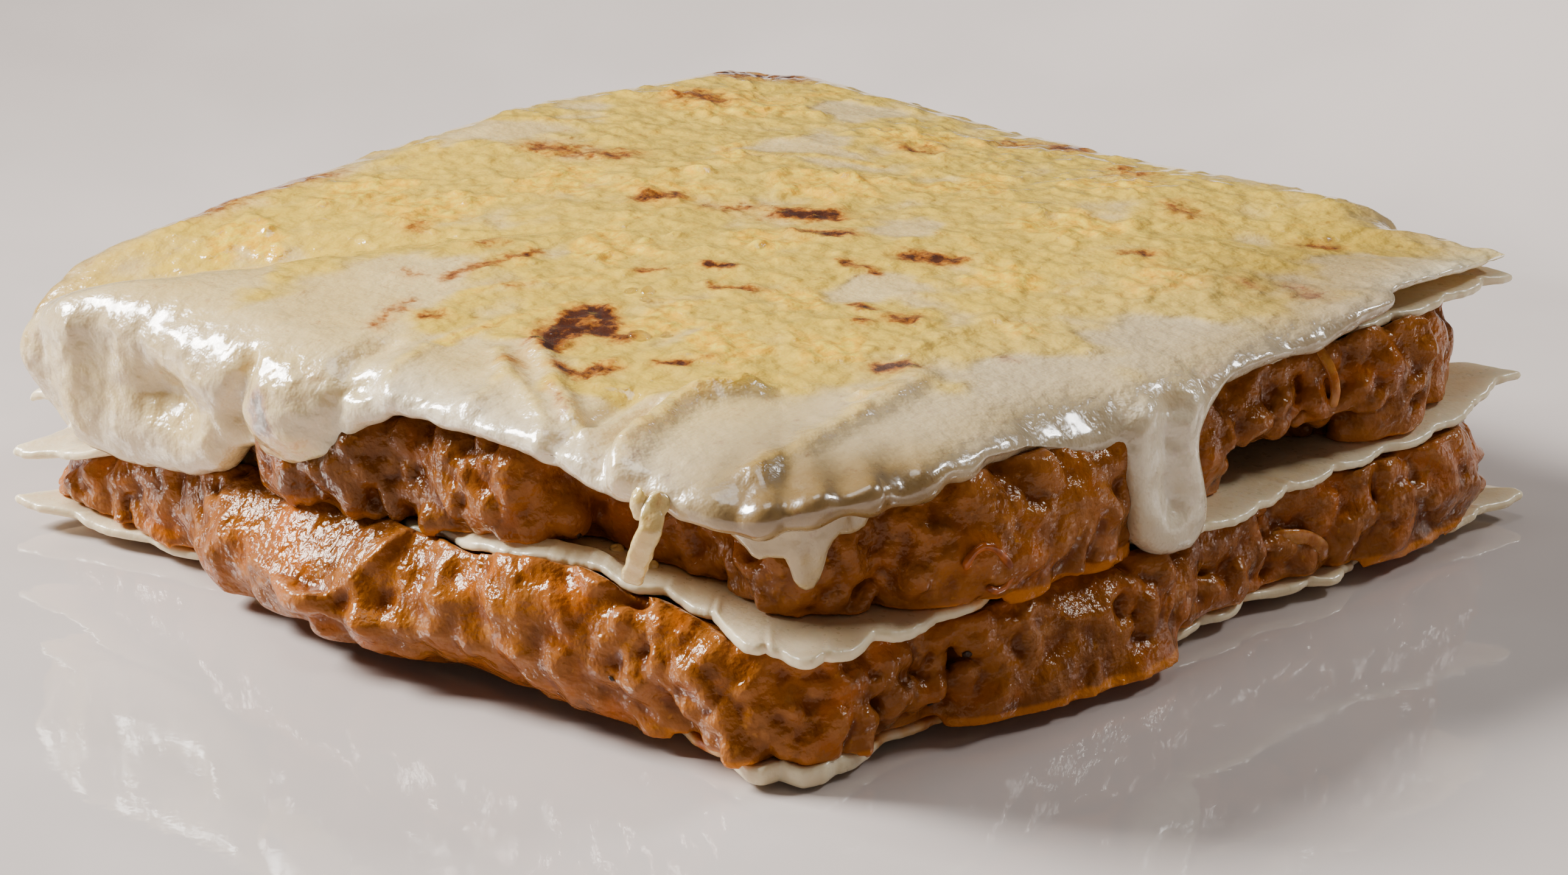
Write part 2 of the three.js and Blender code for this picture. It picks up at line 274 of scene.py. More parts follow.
def grid_normals(p):
    """Normals of a closed-round grid p[row, col, 3]."""
    du = np.roll(p, -1, 1) - np.roll(p, 1, 1)
    dv = np.empty_like(p)
    dv[1:-1] = p[2:] - p[:-2]
    dv[0] = p[1] - p[0]
    dv[-1] = p[-1] - p[-2]
    n = np.cross(du, dv)
    return n / np.maximum(np.linalg.norm(n, axis=-1, keepdims=True), 1e-9)


def surface_nets(f, origin, h):
    """Mesh of the zero surface of f (negative inside). Returns points and quads."""
    inside = f < 0
    core = [slice(0, -1), slice(1, None)]
    count = np.zeros([n - 1 for n in f.shape], np.int8)
    for a in (0, 1):
        for b in (0, 1):
            for c in (0, 1):
                count += inside[core[a], core[b], core[c]]
    active = (count > 0) & (count < 8)
    ids = np.full(active.shape, -1, np.int64)
    cells = np.argwhere(active)
    ids[active] = np.arange(len(cells))
    acc = np.zeros((len(cells), 3))
    num = np.zeros(len(cells))
    corners = [(a, b, c) for a in (0, 1) for b in (0, 1) for c in (0, 1)]
    vals = {c: f[cells[:, 0] + c[0], cells[:, 1] + c[1], cells[:, 2] + c[2]] for c in corners}
    for c in corners:
        for ax in range(3):
            if c[ax]:
                continue
            d = list(c); d[ax] = 1; d = tuple(d)
            va, vb = vals[c], vals[d]
            m = (va < 0) != (vb < 0)
            t = va[m] / (va[m] - vb[m])
            p = np.repeat(np.array([c], float), m.sum(), 0)
            p[:, ax] += t
            acc[m] += p
            num[m] += 1
    pts = (cells + acc / num[:, None]) * h + origin
    quads = []
    for ax in range(3):
        lo = [slice(None)] * 3; hi = [slice(None)] * 3
        lo[ax], hi[ax] = slice(0, -1), slice(1, None)
        a, b = inside[tuple(lo)], inside[tuple(hi)]
        for sign in (True, False):
            edge = (a & ~b) if sign else (~a & b)
            e = np.argwhere(edge)
            o1, o2 = (ax + 1) % 3, (ax + 2) % 3
            e = e[(e[:, o1] > 0) & (e[:, o2] > 0) & (e[:, o1] < f.shape[o1] - 1) & (e[:, o2] < f.shape[o2] - 1)]
            def cell(d1, d2):
                q = e.copy(); q[:, o1] -= d1; q[:, o2] -= d2
                return ids[q[:, 0], q[:, 1], q[:, 2]]
            q = np.stack([cell(1, 1), cell(0, 1), cell(0, 0), cell(1, 0)], -1)
            quads.append(q if sign else q[:, ::-1])
    return pts, np.concatenate(quads)


def cluster(pts, quads, hidden, size):
    """Merges hidden points on a coarse lattice; returns points, quads and triangles."""
    key = np.floor(pts / size).astype(np.int64)
    code = (key[:, 0] + 5000) * 10 ** 8 + (key[:, 1] + 5000) * 10 ** 4 + key[:, 2] + 5000
    code = np.where(hidden, code, -1 - np.arange(len(pts)))
    u, inv = np.unique(code, return_inverse=True)
    n = len(u)
    new = np.zeros((n, 3))
    cnt = np.bincount(inv, minlength=n)
    for a in range(3):
        new[:, a] = np.bincount(inv, pts[:, a], n) / cnt
    q = inv[quads]
    same = [q[:, i] == q[:, (i + 1) % 4] for i in range(4)]
    diag = (q[:, 0] == q[:, 2]) | (q[:, 1] == q[:, 3])
    ns = sum(x.astype(int) for x in same)
    keep4 = (ns == 0) & ~diag
    tris = []
    for i in range(4):
        m = (ns == 1) & same[i] & ~diag
        t = q[m]
        tris.append(np.stack([t[:, i], t[:, (i + 2) % 4], t[:, (i + 3) % 4]], -1))
    return new, q[keep4], np.concatenate(tris), inv


def vertex_normals(pts, faces):
    n = np.zeros_like(pts)
    for f in faces:
        if not len(f):
            continue
        a, b, c = pts[f[:, 0]], pts[f[:, 1]], pts[f[:, 2]]
        d = pts[f[:, 3]] if f.shape[1] == 4 else c
        m = np.cross(c - a, d - b) if f.shape[1] == 4 else np.cross(b - a, c - a)
        for i in range(f.shape[1]):
            for ax in range(3):
                n[:, ax] += np.bincount(f[:, i], m[:, ax], len(pts))
    return n / np.maximum(np.linalg.norm(n, axis=1, keepdims=True), 1e-12)


def segment_distance(p, a, b):
    ab = np.asarray(b, float) - a
    t = np.clip(((p - a) @ ab) / max(ab @ ab, 1e-9), 0, 1)
    return np.linalg.norm(p - (a + t[:, None] * ab), axis=1)


def line_distance(p, line, reach):
    """Distance of points to a polyline, worked out only within reach of it."""
    line = np.asarray(line, float)
    out = np.full(len(p), 1e3)
    near = np.all((p[:, :line.shape[1]] > line.min(0) - reach) & (p[:, :line.shape[1]] < line.max(0) + reach), axis=1)
    q = p[near][:, :line.shape[1]]
    if not len(q):
        return out
    d = np.full(len(q), 1e3)
    if len(line) == 1:
        d = np.linalg.norm(q - line[0], axis=1)
    for a, b in zip(line[:-1], line[1:]):
        d = np.minimum(d, segment_distance(q, a, b))
    out[near] = d
    return out


# ---------------------------------------------------------------- topping
# browned spots: radius, strength, points of a stroke on the top
SPOTS = [
    (1.4, 1.0, (8.1, -31.9), (6.2, -30.1), (5.0, -27.2), (4.2, -23.6)), (1.1, 1.0, (4.4, -23.8), (5.4, -23.7), (7.9, -25.7)),
    (1.5, 0.95, (6.8, -29.0), (7.2, -27.2), (8.5, -27.1)), (0.8, 0.7, (9.6, -27.0), (11.4, -27.3)),
    (0.8, 0.7, (11.7, -34.3), (13.9, -34.6), (13.9, -32.0), (14.8, -32.0)), (1.1, 0.75, (14.1, -34.4), (14.4, -32.6)),
    (0.8, 0.75, (17.2, -28.9), (18.3, -28.1)), (0.6, 0.4, (19.1, -26.9), (19.5, -25.7)), (0.5, 0.45, (22.9, -31.4), (23.0, -28.6)),
    (0.5, 0.6, (24.1, -29.0), (23.9, -27.0)), (0.9, 0.95, (29.3, -18.6), (30.8, -17.1)), (0.7, 0.7, (7.9, -14.4), (10.7, -12.9)),
    (0.8, 0.6, (10.8, -3.0), (13.7, -2.8)), (0.6, 0.75, (18.2, -9.6), (19.7, -10.3)), (0.8, 0.6, (21.7, -12.7), (22.1, -13.1)),
    (1.1, 0.7, (22.8, -9.9), (23.7, -9.3)), (0.8, 0.6, (-9.6, -26.1), (-9.5, -22.3), (-8.8, -17.3)),
    (0.8, 0.35, (-5.1, -24.5), (-3.6, -23.3)), (0.8, 0.6, (-4.7, -32.8), (-3.9, -32.3)), (0.8, 0.5, (0.3, -14.9), (1.4, -13.8)),
    (0.7, 0.9, (3.8, -10.7), (5.2, -10.2)), (1.7, 1.0, (-1.7, 4.0), (0.6, 5.2)), (1.1, 0.8, (2.8, 0.5), (5.5, 2.3)),
    (1.5, 0.7, (-12.7, -1.0), (-11.4, 0.2)), (1.3, 0.4, (-7.7, 0.8), (-4.2, 3.5)), (1.3, 0.85, (13.1, 1.9), (15.7, 3.6)),
    (1.8, 0.6, (-29.7, 3.2), (-26.3, 4.3), (-23.2, 5.8)), (1.5, 0.4, (-22.3, -17.4), (-22.1, -17.3)),
    (1.2, 0.3, (-12.6, -27.2), (-12.2, -27.0)), (1.2, 0.4, (-13.5, -18.3), (-13.2, -18.1)),
    (2.2, 0.5, (-40.6, -24.0), (-41.0, -17.6), (-40.4, -12.0)), (2.4, 0.6, (-33.5, 24.5), (-31.8, 25.3)),
    (2.6, 0.7, (-38.0, 34.6), (-36.8, 36.4), (-35.7, 38.2)), (1.8, 0.4, (-9.7, 26.0), (-8.6, 27.3)),
    (1.8, 0.45, (-7.4, 36.0), (-6.8, 37.1)), (1.8, 0.6, (-4.1, 38.4), (-3.0, 39.2)),
    (0.8, 0.5, (-5.8, -36.7), (-7.0, -34.2), (-7.9, -31.5)), (1.4, 0.4, (37.1, 19.6), (38.9, 18.8)),
    (1.0, 0.3, (33.6, 16.9), (34.4, 17.0)), (0.7, 0.4, (33.9, -10.0), (34.4, -9.8)), (0.5, 0.35, (14.4, -37.9), (16.7, -39.3), (19.0, -41.0)),
    (0.8, 0.35, (7.1, -35.5), (8.8, -35.9)),
    (1.5, 0.5, (18, 28), (20, 27)), (1.2, 0.6, (30, 30), (31, 31)), (1.6, 0.5, (8, 34), (6, 35)), (1.0, 0.6, (24, 15), (25, 16)),
]
SIDE_SPOTS = [(0.9, 0.85, (34.4, 18.6), (34.6, 17.0)), (0.8, 0.75, (38.3, 21.8)), (0.7, 0.45, (86.4, 18.6), (86.6, 17.2)), (1.2, 0.4, (128.5, 22.3)),
    (1.6, 0.4, (301, 20), (303, 18)), (1.3, 0.5, (231, 21), (233, 19.5)), (1.5, 0.45, (268, 21), (270, 20))]
# shreds of cheese that melted into ridges: radius, height, yellowness, points
STRANDS = [
    (1.5, 1.15, 0.8, (28.5, -43.9, 20.8), (27.1, -42.3, 21.9), (25.8, -39.4, 22.9), (24.2, -34.8, 23.2), (24.3, -31.8, 23.4), (25.7, -29.2, 23.5)),
    (1.4, 0.75, 0.7, (36.8, -39.6, 22.4), (36.2, -35.2, 23.0), (35.2, -29.9, 23.1), (34.2, -24.4, 23.2), (32.7, -18.3, 23.3)),
    (1.1, 0.35, 0.6, (28.9, -15.1, 23.6), (27.7, -9.6, 23.7), (27.4, -3.8, 23.7)),
    (0.9, 0.7, 0.5, (6.5, -31.8, 23.4), (11.7, -35.3, 23.2), (18.3, -39.7, 22.9), (21.9, -41.9, 22.2)),
    (0.9, 0.45, 0.5, (7.7, -36.7, 23.1), (12.9, -39.1, 22.9), (17.3, -41.6, 22.2), (20.2, -43.7, 21.1)),
    (1.0, 0.4, 0.3, (2.7, -43.5, 21.5), (1.5, -41.5, 22.6), (0.5, -37.0, 23.2)),
    (1.0, 0.4, 0.5, (5.2, -34.5, 23.2), (8.6, -36.4, 23.0), (10.5, -39.6, 22.8), (11.2, -42.5, 22.0)),
]
# creases: radius, depth, points
CREASES = [
    (0.9, 0.8, (20.8, -44.2, 20.6), (21.4, -42.4, 22.1), (20.6, -38.6, 22.9), (19.6, -35.0, 23.2)),
    (0.9, 0.8, (26.2, -44.0, 20.8), (24.9, -42.0, 22.0), (23.4, -39.0, 22.9), (22.2, -35.4, 23.2)),
    (1.2, 0.7, (-1.5, -44.0, 16.5), (-2.0, -43.6, 19.5), (-2.6, -41.8, 22.0), (-3.0, -38.6, 23.0)),
]
# folds of the hanging part, as (distance round the outline, height): radius, amount, points
FOLDS = [
    (2.2, -1.9, (20.5, 15.9), (23.5, 15.4)), (1.9, 0.7, (20.5, 18.8), (25.5, 18.2), (29.0, 18.6)),
    (2.4, 0.7, (14.0, 11.5), (20.0, 11.2), (26.0, 12.4)), (1.0, -1.2, (30.8, 14.2), (30.0, 16.0), (30.2, 17.6), (31.2, 19.5), (31.5, 21.0)),
    (3.0, 0.8, (34.5, 15.5), (35.0, 18.0)), (1.3, -0.8, (44.8, 19.4), (43.5, 21.0), (42.5, 22.3)),
    (1.7, -0.55, (14.6, 12.0), (14.6, 15.5), (14.5, 19.0)), (1.4, 0.35, (11.6, 11.0), (11.4, 14.5), (11.7, 19.0)),
    (1.6, -0.5, (7.6, 12.0), (7.8, 16.0), (7.3, 19.0)), (1.7, -0.45, (2.4, 13.0), (2.4, 19.0)),
    (1.0, 0.55, (121.0, 21.6), (120.4, 19.9), (119.8, 17.3), (119.7, 12.8)),
    (1.5, -1.25, (123.9, 21.4), (123.3, 19.8), (122.9, 17.6), (122.9, 15.2), (123.4, 13.6)), (1.8, 0.45, (122.5, 11.8), (125.0, 11.4)),
    (3.0, 0.4, (98.0, 21.0), (103.0, 21.5)), (2.4, -0.4, (112.0, 22.2), (116.0, 21.4)),
    (1.6, 0.5, (286.0, 17.0), (284.0, 20.0)), (1.6, -0.7, (293.0, 19.0), (291.0, 22.0)), (1.6, -0.7, (278.5, 19.5), (279.5, 22.0)),
    (1.7, 0.6, (206.0, 14.0), (207.0, 19.0)), (1.5, -0.8, (199.5, 19.0), (201.0, 22.0)), (1.6, -0.7, (215.5, 19.0), (214.0, 22.0)),
    (1.8, 0.5, (190.0, 17.5), (190.0, 20.5)), (1.8, 0.5, (246.0, 15.5), (246.0, 20.0)), (1.5, -0.6, (238.0, 19.5), (238.0, 22.0)),
    (1.6, -0.6, (316.0, 18.5), (315.0, 22.0)), (1.8, 0.5, (305.0, 17.0), (304.0, 20.5)), (1.6, -0.6, (323.0, 18.0), (322.0, 22.0)),
    (1.8, 0.5, (331.0, 13.5), (331.0, 18.5)),
]
# lower edge of the thick front lobe, below which a thinner part hangs: s, height
LOBE = [(79.5, 18.6), (81.6, 18.7), (83.45, 19.0), (85.4, 19.4), (89.3, 20.1), (93.3, 20.2), (96, 19.6)]
# lower edge of the thin tongue that hangs out from under the front lobe
TONGUE = [(78.5, 19.6), (79.0, 18.4), (79.5, 17.9), (80.3, 17.5), (81, 17.2), (81.8, 16.7), (82.6, 16.5), (83.5, 16.7), (84.3, 16.6), (85.2, 16.5),
    (85.7, 15.8), (86.1, 14.9), (86.7, 14.3), (87.4, 14.0), (88.2, 14.0), (88.8, 14.6), (89.2, 15.5), (89.6, 16.7), (90.1, 17.4), (90.8, 17.7), (92, 17.5),
    (92.9, 17.5), (93.5, 17.7), (94.1, 18.4), (94.4, 19.3), (94.6, 20.4)]
# where the top is yellow, and where it is white: x, y, radius
YELLOWS = [(10.3, -21.6, 4.5), (24.5, -18, 3.6), (-21.5, -2.5, 4.5), (-13.4, 2.6, 4), (-33, -13.3, 4), (-32.5, -26.7, 4), (-4.8, 12, 5),
    (2, 21.3, 4.5), (15.9, 17.5, 4.5), (29.4, 12, 4.5), (2.2, -3.5, 4), (-5.3, -12.8, 4), (30, -4, 3), (14, -12, 3.4), (-24, -14, 4),
    (-30, 26, 6), (-12, 30, 5), (10, 30, 4), (18, -24, 3.6), (33, -24, 3), (21, 3, 4), (-18, 14, 4)]
WHITES = [(17.5, -6, 4.2), (37.8, -11.3, 6), (-11.7, -30, 7), (-13.8, 18.6, 4.5), (37.3, -41.3, 9), (-8.5, -41.4, 8), (6, -38, 6),
    (31, -32, 6.5), (40, -26, 8), (40, 2, 6), (-28, -36, 7), (25, -40, 7), (8, 7, 3.5), (-22, 32, 4), (38, 28, 5), (-36, 4, 4)]


def side_line(points):
    s, z = np.array(points, float).T
    x, y = square(s)
    k = 1 + hem_out(s) / HALF
    return np.stack([x * k, y * k, z], -1)


def tongue():
    """A thin sheet of sauce between the front lobe and the meat: its points and faces."""
    s = np.linspace(TONGUE[0][0], TONGUE[-1][0], 104)
    low = np.interp(s, [a for a, _ in TONGUE], [b for _, b in TONGUE]) + 0.07 * noise(flat(s, 0 * s), 0.8, 46)
    high = np.maximum(low, np.interp(s, [a for a, _ in LOBE], [b for _, b in LOBE]) + 1.7)
    low[0] = high[0]
    low[-1] = high[-1]
    v = np.linspace(0, 1, 20) ** 1.5
    S = np.broadcast_to(s, (20, 104))
    Z = low + (high - low) * v[:, None]
    far = np.sqrt((((S[..., None] - s) ** 2 + (Z[..., None] - low) ** 2)).min(-1))
    half = 0.5 * np.sqrt(1 - (1 - np.minimum(far / 0.5, 1)) ** 2) * (1 + 0.25 * noise(flat(S, Z), 1.8, 47))
    mid = -1.75 - corner(S, FRONT, 5) + 0.22 * noise(flat(S, Z), 2.6, 48) - 0.5 * np.clip((17 - Z) / 3, 0, 1) * hump(S, 87.6, 2.4)
    sx, sy = square(S)
    faces_of = [flat(sx * (1 + (mid + w * half) / HALF), sy * (1 + (mid + w * half) / HALF), Z) for w in (1, -1)]
    p = np.concatenate([faces_of[0][::-1], faces_of[1][1:]])
    rows, cols = p.shape[:2]
    r, c = np.meshgrid(np.arange(rows), np.arange(cols - 1), indexing="ij")
    r2 = (r + 1) % rows
    quads = np.stack([r * cols + c, r2 * cols + c, r2 * cols + c + 1, r * cols + c + 1], -1).reshape(-1, 4)
    p = p.reshape(-1, 3)
    if signed_volume(p - p.mean(0), [quads]) < 0:
        quads = quads[:, ::-1]
    return p, quads


def topping():
    m_all, m_top = 152, 104
    i = np.arange(-m_all, m_all + 1)
    gi, gj = np.meshgrid(i, i, indexing="ij")
    m = np.maximum(np.abs(gi), np.abs(gj))
    mm = np.maximum(m, 1)
    s, _ = locate(gi / mm * HALF, gj / mm * HALF)
    s = np.where(m == 0, 0.0, s)
    o_max, zs, zh = hem_out(s), shoulder_z(s), hem_z(s)
    b = bare(s)
    th = 2.0 + 0.05 * (20.3 - zh) - 0.9 * b - 0.4 * hump(s, 152, 14, 4) + 0.5 * hump(s, 87, 9, 4)
    drop = np.maximum(zs - zh, th * 0.6)
    rw = 7.0 + 0.6 * hump(s, 86, 13, 4) - 1.5 * hump(s, 152, 14, 4) - 1.2 * hump(s, 20, 22, 4) \
        + 0.7 * (corner(s, FRONT, 14) + corner(s, LEFT, 14) + corner(s, BACK, 14) + corner(s, RIGHT, 10))
    rh = np.minimum(3.7 + 0.6 * hump(s, 86, 15, 4), (0.66 + 0.1 * hump(s, 88, 13, 4)) * drop)
    crest = 1 + (o_max - rw) / HALF
    t = np.minimum(m / m_top, 1)
    k_top = t * crest
    z_top = zs + (Z_CROWN - zs) * (1 - t ** 2.4)
    # over the edge, down the side, round the lip and up behind
    p = np.clip((m - m_top) / (m_all - m_top), 0, 1)
    foot = np.minimum(zh + th / 2, zs - rh)
    arcs = np.cumsum([(rw + rh) * 0.785, zs - rh - foot + 0.3, th * 1.571, np.minimum(2.5, np.maximum(0, 20.2 - zh)) + 0.5], axis=0)
    a1, a2, a3 = arcs[0] / arcs[3], arcs[1] / arcs[3], arcs[2] / arcs[3]
    turn = np.clip(p / a1, 0, 1) * np.pi / 2
    o = o_max - rw + rw * np.sin(turn)
    z = zs - rh * (1 - np.cos(turn))
    q = np.clip((p - a1) / (a2 - a1), 0, 1)
    z = z + (foot - (zs - rh)) * q
    tuck = 0.7 * hump(s, 14, 20, 4) + 0.6 * hump(s, 35, 6, 4) + 0.5 * hump(s, 112, 7, 4)
    o = o + 0.3 * np.sin(np.pi * q) * smooth(5, 10, drop) - tuck * q * q
    phi = np.clip((p - a2) / (a3 - a2), 0, 1) * np.pi
    lip = p > a2
    o = np.where(lip, o_max - tuck - th / 2 + th / 2 * np.cos(phi), o)
    z = np.where(lip, foot - th / 2 * np.sin(phi), z)
    r = np.clip((p - a3) / (1 - a3), 0, 1)
    z = z + r * np.minimum(2.5, np.maximum(0, 20.2 - zh))
    k = np.where(m <= m_top, k_top, 1 + o / HALF)
    z = np.where(m <= m_top, z_top, z)
    # the deep drip leans over on its right side
    s_at = s - smooth(0.05, 0.4, p) * 1.9 * np.exp(-((z - 17.2) / 3.3) ** 2) * hump(s, 127.6, 2.6)
    sx, sy = square(s_at % PERIMETER)
    pts = np.stack([sx * k, sy * k, z], -1)
    n = 2 * m_all + 1
    quads = grid_faces(n, n, wrap=False)
    flatp = pts.reshape(-1, 3)
    nor = vertex_normals(flatp, [quads])
    if nor[(n * n) // 2, 2] < 0:
        quads = quads[:, ::-1]
        nor = -nor
    fs, fp = s.reshape(-1), p.reshape(-1)
    fa1, fa2, fa3 = a1.reshape(-1), a2.reshape(-1), a3.reshape(-1)

    x, y, zz = flatp.T
    side = smooth(0.0, 1.0, fp / fa1)
    n14, n7, n3, n1 = noise(flatp, 14.0, 8), noise(flatp, 7.0, 1), noise(flatp, 3.0, 2), noise(flatp, 1.3, 3)
    wx, wy = x + 1.6 * noise(flatp, 5.0, 12) + 0.7 * noise(flatp, 1.8, 14), y + 1.6 * noise(flatp, 5.0, 13) + 0.7 * noise(flatp, 1.8, 15)
    spot = sum(0.85 * np.exp(-(((wx - a) ** 2 + (wy - b2) ** 2) / (r2 * r2))) for a, b2, r2 in YELLOWS)
    pale = sum(np.exp(-(((wx - a) ** 2 + (wy - b2) ** 2) / (r2 * r2)) ** 1.5) for a, b2, r2 in WHITES)
    inward = 1 - smooth(0.78, 1.02, np.maximum(np.abs(x), np.abs(y)) / HALF)
    olive = smooth(-0.3, 0.65, 0.12 + 0.5 * inward + 0.55 * n7 + 0.35 * n3 - 1.1 * pale) * (1 - side)
    drape = smooth(-0.1, 0.6, 0.55 * hump(fs, 34, 9) + 0.5 * hump(fs, 22, 5) * np.exp(-((zz - 16.5) / 3.0) ** 2)
        + 0.35 * hump(fs, 0, 14) + 0.4 * noise(flatp, 7.0, 9) + 0.2 * n3 - 0.5 * hump(fs, 100, 46, 6) + 0.25 * hump(fs, 255, 70, 6))
    olive = np.maximum(olive, side * drape * 0.8)
    yellow = smooth(0.12, 0.75, spot + 0.3 * n3 + 0.18 * n1 - 0.7 * pale) * (1 - 0.8 * side)
    yellow = np.maximum(yellow, side * smooth(0.1, 0.6, hump(fs, 35, 4.5) * np.exp(-((zz - 14.9) / 2.2) ** 2)) * 0.85)
    cheese = np.clip(0.55 * olive + yellow, 0, 1)

    front_face = fp < fa2

    def laid(line):
        """The line's points moved onto the surface."""
        return [flatp[front_face][np.argmin(((flatp[front_face] - q2) ** 2).sum(1))] for q2 in np.asarray(line, float)]

    d = 0.30 * noise(flatp, 15.0, 11) + 0.16 * n7 + 0.06 * n3
    # melted crumbs and small strands
    crumb = smooth(-0.1, 0.6, noise(flatp, 2.1, 5) + 0.2 * cheese - 0.1)
    d += (0.03 + 0.24 * cheese) * crumb * (1 - 0.5 * side)
    d += (0.02 + 0.04 * cheese) * noise(flatp, 1.25, 6)
    for radius, high, tint, *line in STRANDS:
        e = line_distance(flatp + 0.2 * n3[:, None], laid(line), radius * 3)
        g = np.exp(-(e / radius) ** 2)
        d += high * g * (1 + 0.12 * n1 + 0.15 * n3)
        olive = np.maximum(olive, 0.55 * g)
        yellow = np.maximum(yellow, 0.55 * tint * g ** 0.7 * smooth(-0.6, 0.3, n3 + 0.2))
    for radius, deep, *line in CREASES:
        d -= deep * np.exp(-(line_distance(flatp + 0.2 * n3[:, None], laid(line), radius * 3) / radius) ** 2)
    for radius, amount, *line in FOLDS:
        d += amount * np.exp(-(line_distance(flatp + 0.3 * n3[:, None], laid(side_line(line)), radius * 3) / radius) ** 2)
    rng = np.random.default_rng(SEED + 3)
    made = 0
    while made < 60:
        cx, cy = rng.uniform(-39, 39, 2)
        ang, length = rng.uniform(0, np.pi), rng.uniform(4, 12)
        white = sum(math.exp(-((cx - a) ** 2 + (cy - b2) ** 2) / (r2 * r2)) for a, b2, r2 in WHITES)
        if rng.random() > 0.95 - 0.9 * white:
            continue
        made += 1
        tt = np.linspace(-0.5, 0.5, 5)
        curve = rng.normal(0, 0.9)
        lx = cx + np.cos(ang) * length * tt - np.sin(ang) * curve * (4 * tt * tt)
        ly = cy + np.sin(ang) * length * tt + np.cos(ang) * curve * (4 * tt * tt)
        radius = rng.uniform(0.6, 1.1)
        e = line_distance(flatp[:, :2] + 0.3 * n3[:, None], np.stack([lx, ly], -1), radius * 3)
        g = np.exp(-(e / radius) ** 2) * (1 - side)
        d += rng.uniform(0.03, 0.11) * g * (1 + 0.2 * n1)
        olive = np.maximum(olive, 0.8 * g)
        yellow = np.maximum(yellow, rng.uniform(0.15, 0.75) * g)
    brown = np.zeros(len(x))
    halo = np.zeros(len(x))
    wob = np.stack([x + 0.5 * noise(flatp, 1.5, 21) + 0.25 * noise(flatp, 0.6, 24), y + 0.5 * noise(flatp, 1.5, 22) + 0.25 * noise(flatp, 0.6, 25),
        zz], -1)
    marks = [(a, b2, np.array(line)) for a, b2, *line in SPOTS] + [(a, b2, side_line(line)) for a, b2, *line in SIDE_SPOTS]
    for radius, strength, line in marks:
        e = line_distance(wob, line, radius * 4 + 2)
        away = 1 if line.shape[1] == 3 else (1 - smooth(0.5, 1.2, fp / fa1))
        brown = np.maximum(brown, away * strength * np.exp(-(e / (radius * 1.0)) ** 2))
        halo = np.maximum(halo, away * (0.35 + 0.5 * strength) * np.exp(-(e / (radius * 1.7)) ** 2))
    d += 0.16 * halo * (1 - brown) + 0.22 * brown * noise(flatp, 0.9, 23)
    # soft folds down the side, and a few blisters
    fold = noise(flat(fs * 1.0, 0 * fs, 0.16 * zz), 4.6, 31)
    calm = (1 - 0.6 * hump(fs, 93, 27, 4)) * (1 - 0.6 * hump(fs, 88, 11, 4))
    d += side * calm * (0.42 * fold + 0.24 * noise(flatp, 2.4, 32) + 0.13 * noise(flatp, 1.15, 33))
    d += smooth(0.35, 0.8, noise(flatp, 1.9, 41)) * 0.3 * (0.3 + 0.7 * cheese) * (1 - 0.4 * side)
    lobe_z = np.interp(fs, [a for a, _ in LOBE], [b2 for _, b2 in LOBE])
    reach = smooth(80.2, 82.4, fs) * (1 - smooth(93.0, 95.5, fs))
    d += side * hump(fs, 91, 11, 4) * (0.32 * np.sin(2 * np.pi * (fs + 0.5 * n3 - 81.5) / 5.4) + 0.2 * noise(flatp, 4.2, 36))
    d += 0.9 * reach * np.exp(-((zz - lobe_z - 1.0) / 1.3) ** 2) * side
    over = (fp - fa2) / (fa3 - fa2)
    d *= (1 - smooth(0.45, 1.1, over)) * (1 - 0.35 * smooth(-0.6, 0.4, over))
    flatp = flatp + nor * d[:, None]
    # one wrinkle-free pass, so that steep folds do not cross themselves
    g3 = flatp.reshape(n, n, 3)
    for _ in range(1):
        avg = (g3[:-2, 1:-1] + g3[2:, 1:-1] + g3[1:-1, :-2] + g3[1:-1, 2:]) / 4
        w = (0.5 * smooth(0.2, 0.6, p[1:-1, 1:-1]))[..., None]
        g3[1:-1, 1:-1] = g3[1:-1, 1:-1] * (1 - w) + avg * w
    # the left corner rounds off instead of folding along its diagonal
    near = np.exp(-((np.abs(gi) - np.abs(gj)) / 9.0) ** 2) * (gi < 0) * (gj < 0) * smooth(62, 96, m)
    for _ in range(22):
        avg = (g3[:-2, 1:-1] + g3[2:, 1:-1] + g3[1:-1, :-2] + g3[1:-1, 2:]) / 4
        w = (0.6 * near[1:-1, 1:-1])[..., None]
        g3[1:-1, 1:-1] = g3[1:-1, 1:-1] * (1 - w) + avg * w
    flatp = g3.reshape(-1, 3)

    # close the underside
    ring = np.array(outer_ring(n))
    rs = fs[ring]
    inner = np.stack([square(rs)[0] * 0.8, square(rs)[1] * 0.8, sheet_z(2, rs, 0.8) + SHEET + 0.1], -1)
    base = len(flatp)
    verts = np.concatenate([flatp, inner, [[0, 0, Z_SHEET[2] + SHEET + 0.1]]])
    nr = len(ring)
    j = np.arange(nr)
    strip = np.stack([ring[j], ring[(j + 1) % nr], base + (j + 1) % nr, base + j], -1)
    fan = np.stack([base + j, base + (j + 1) % nr, np.full(nr, base + nr)], -1)
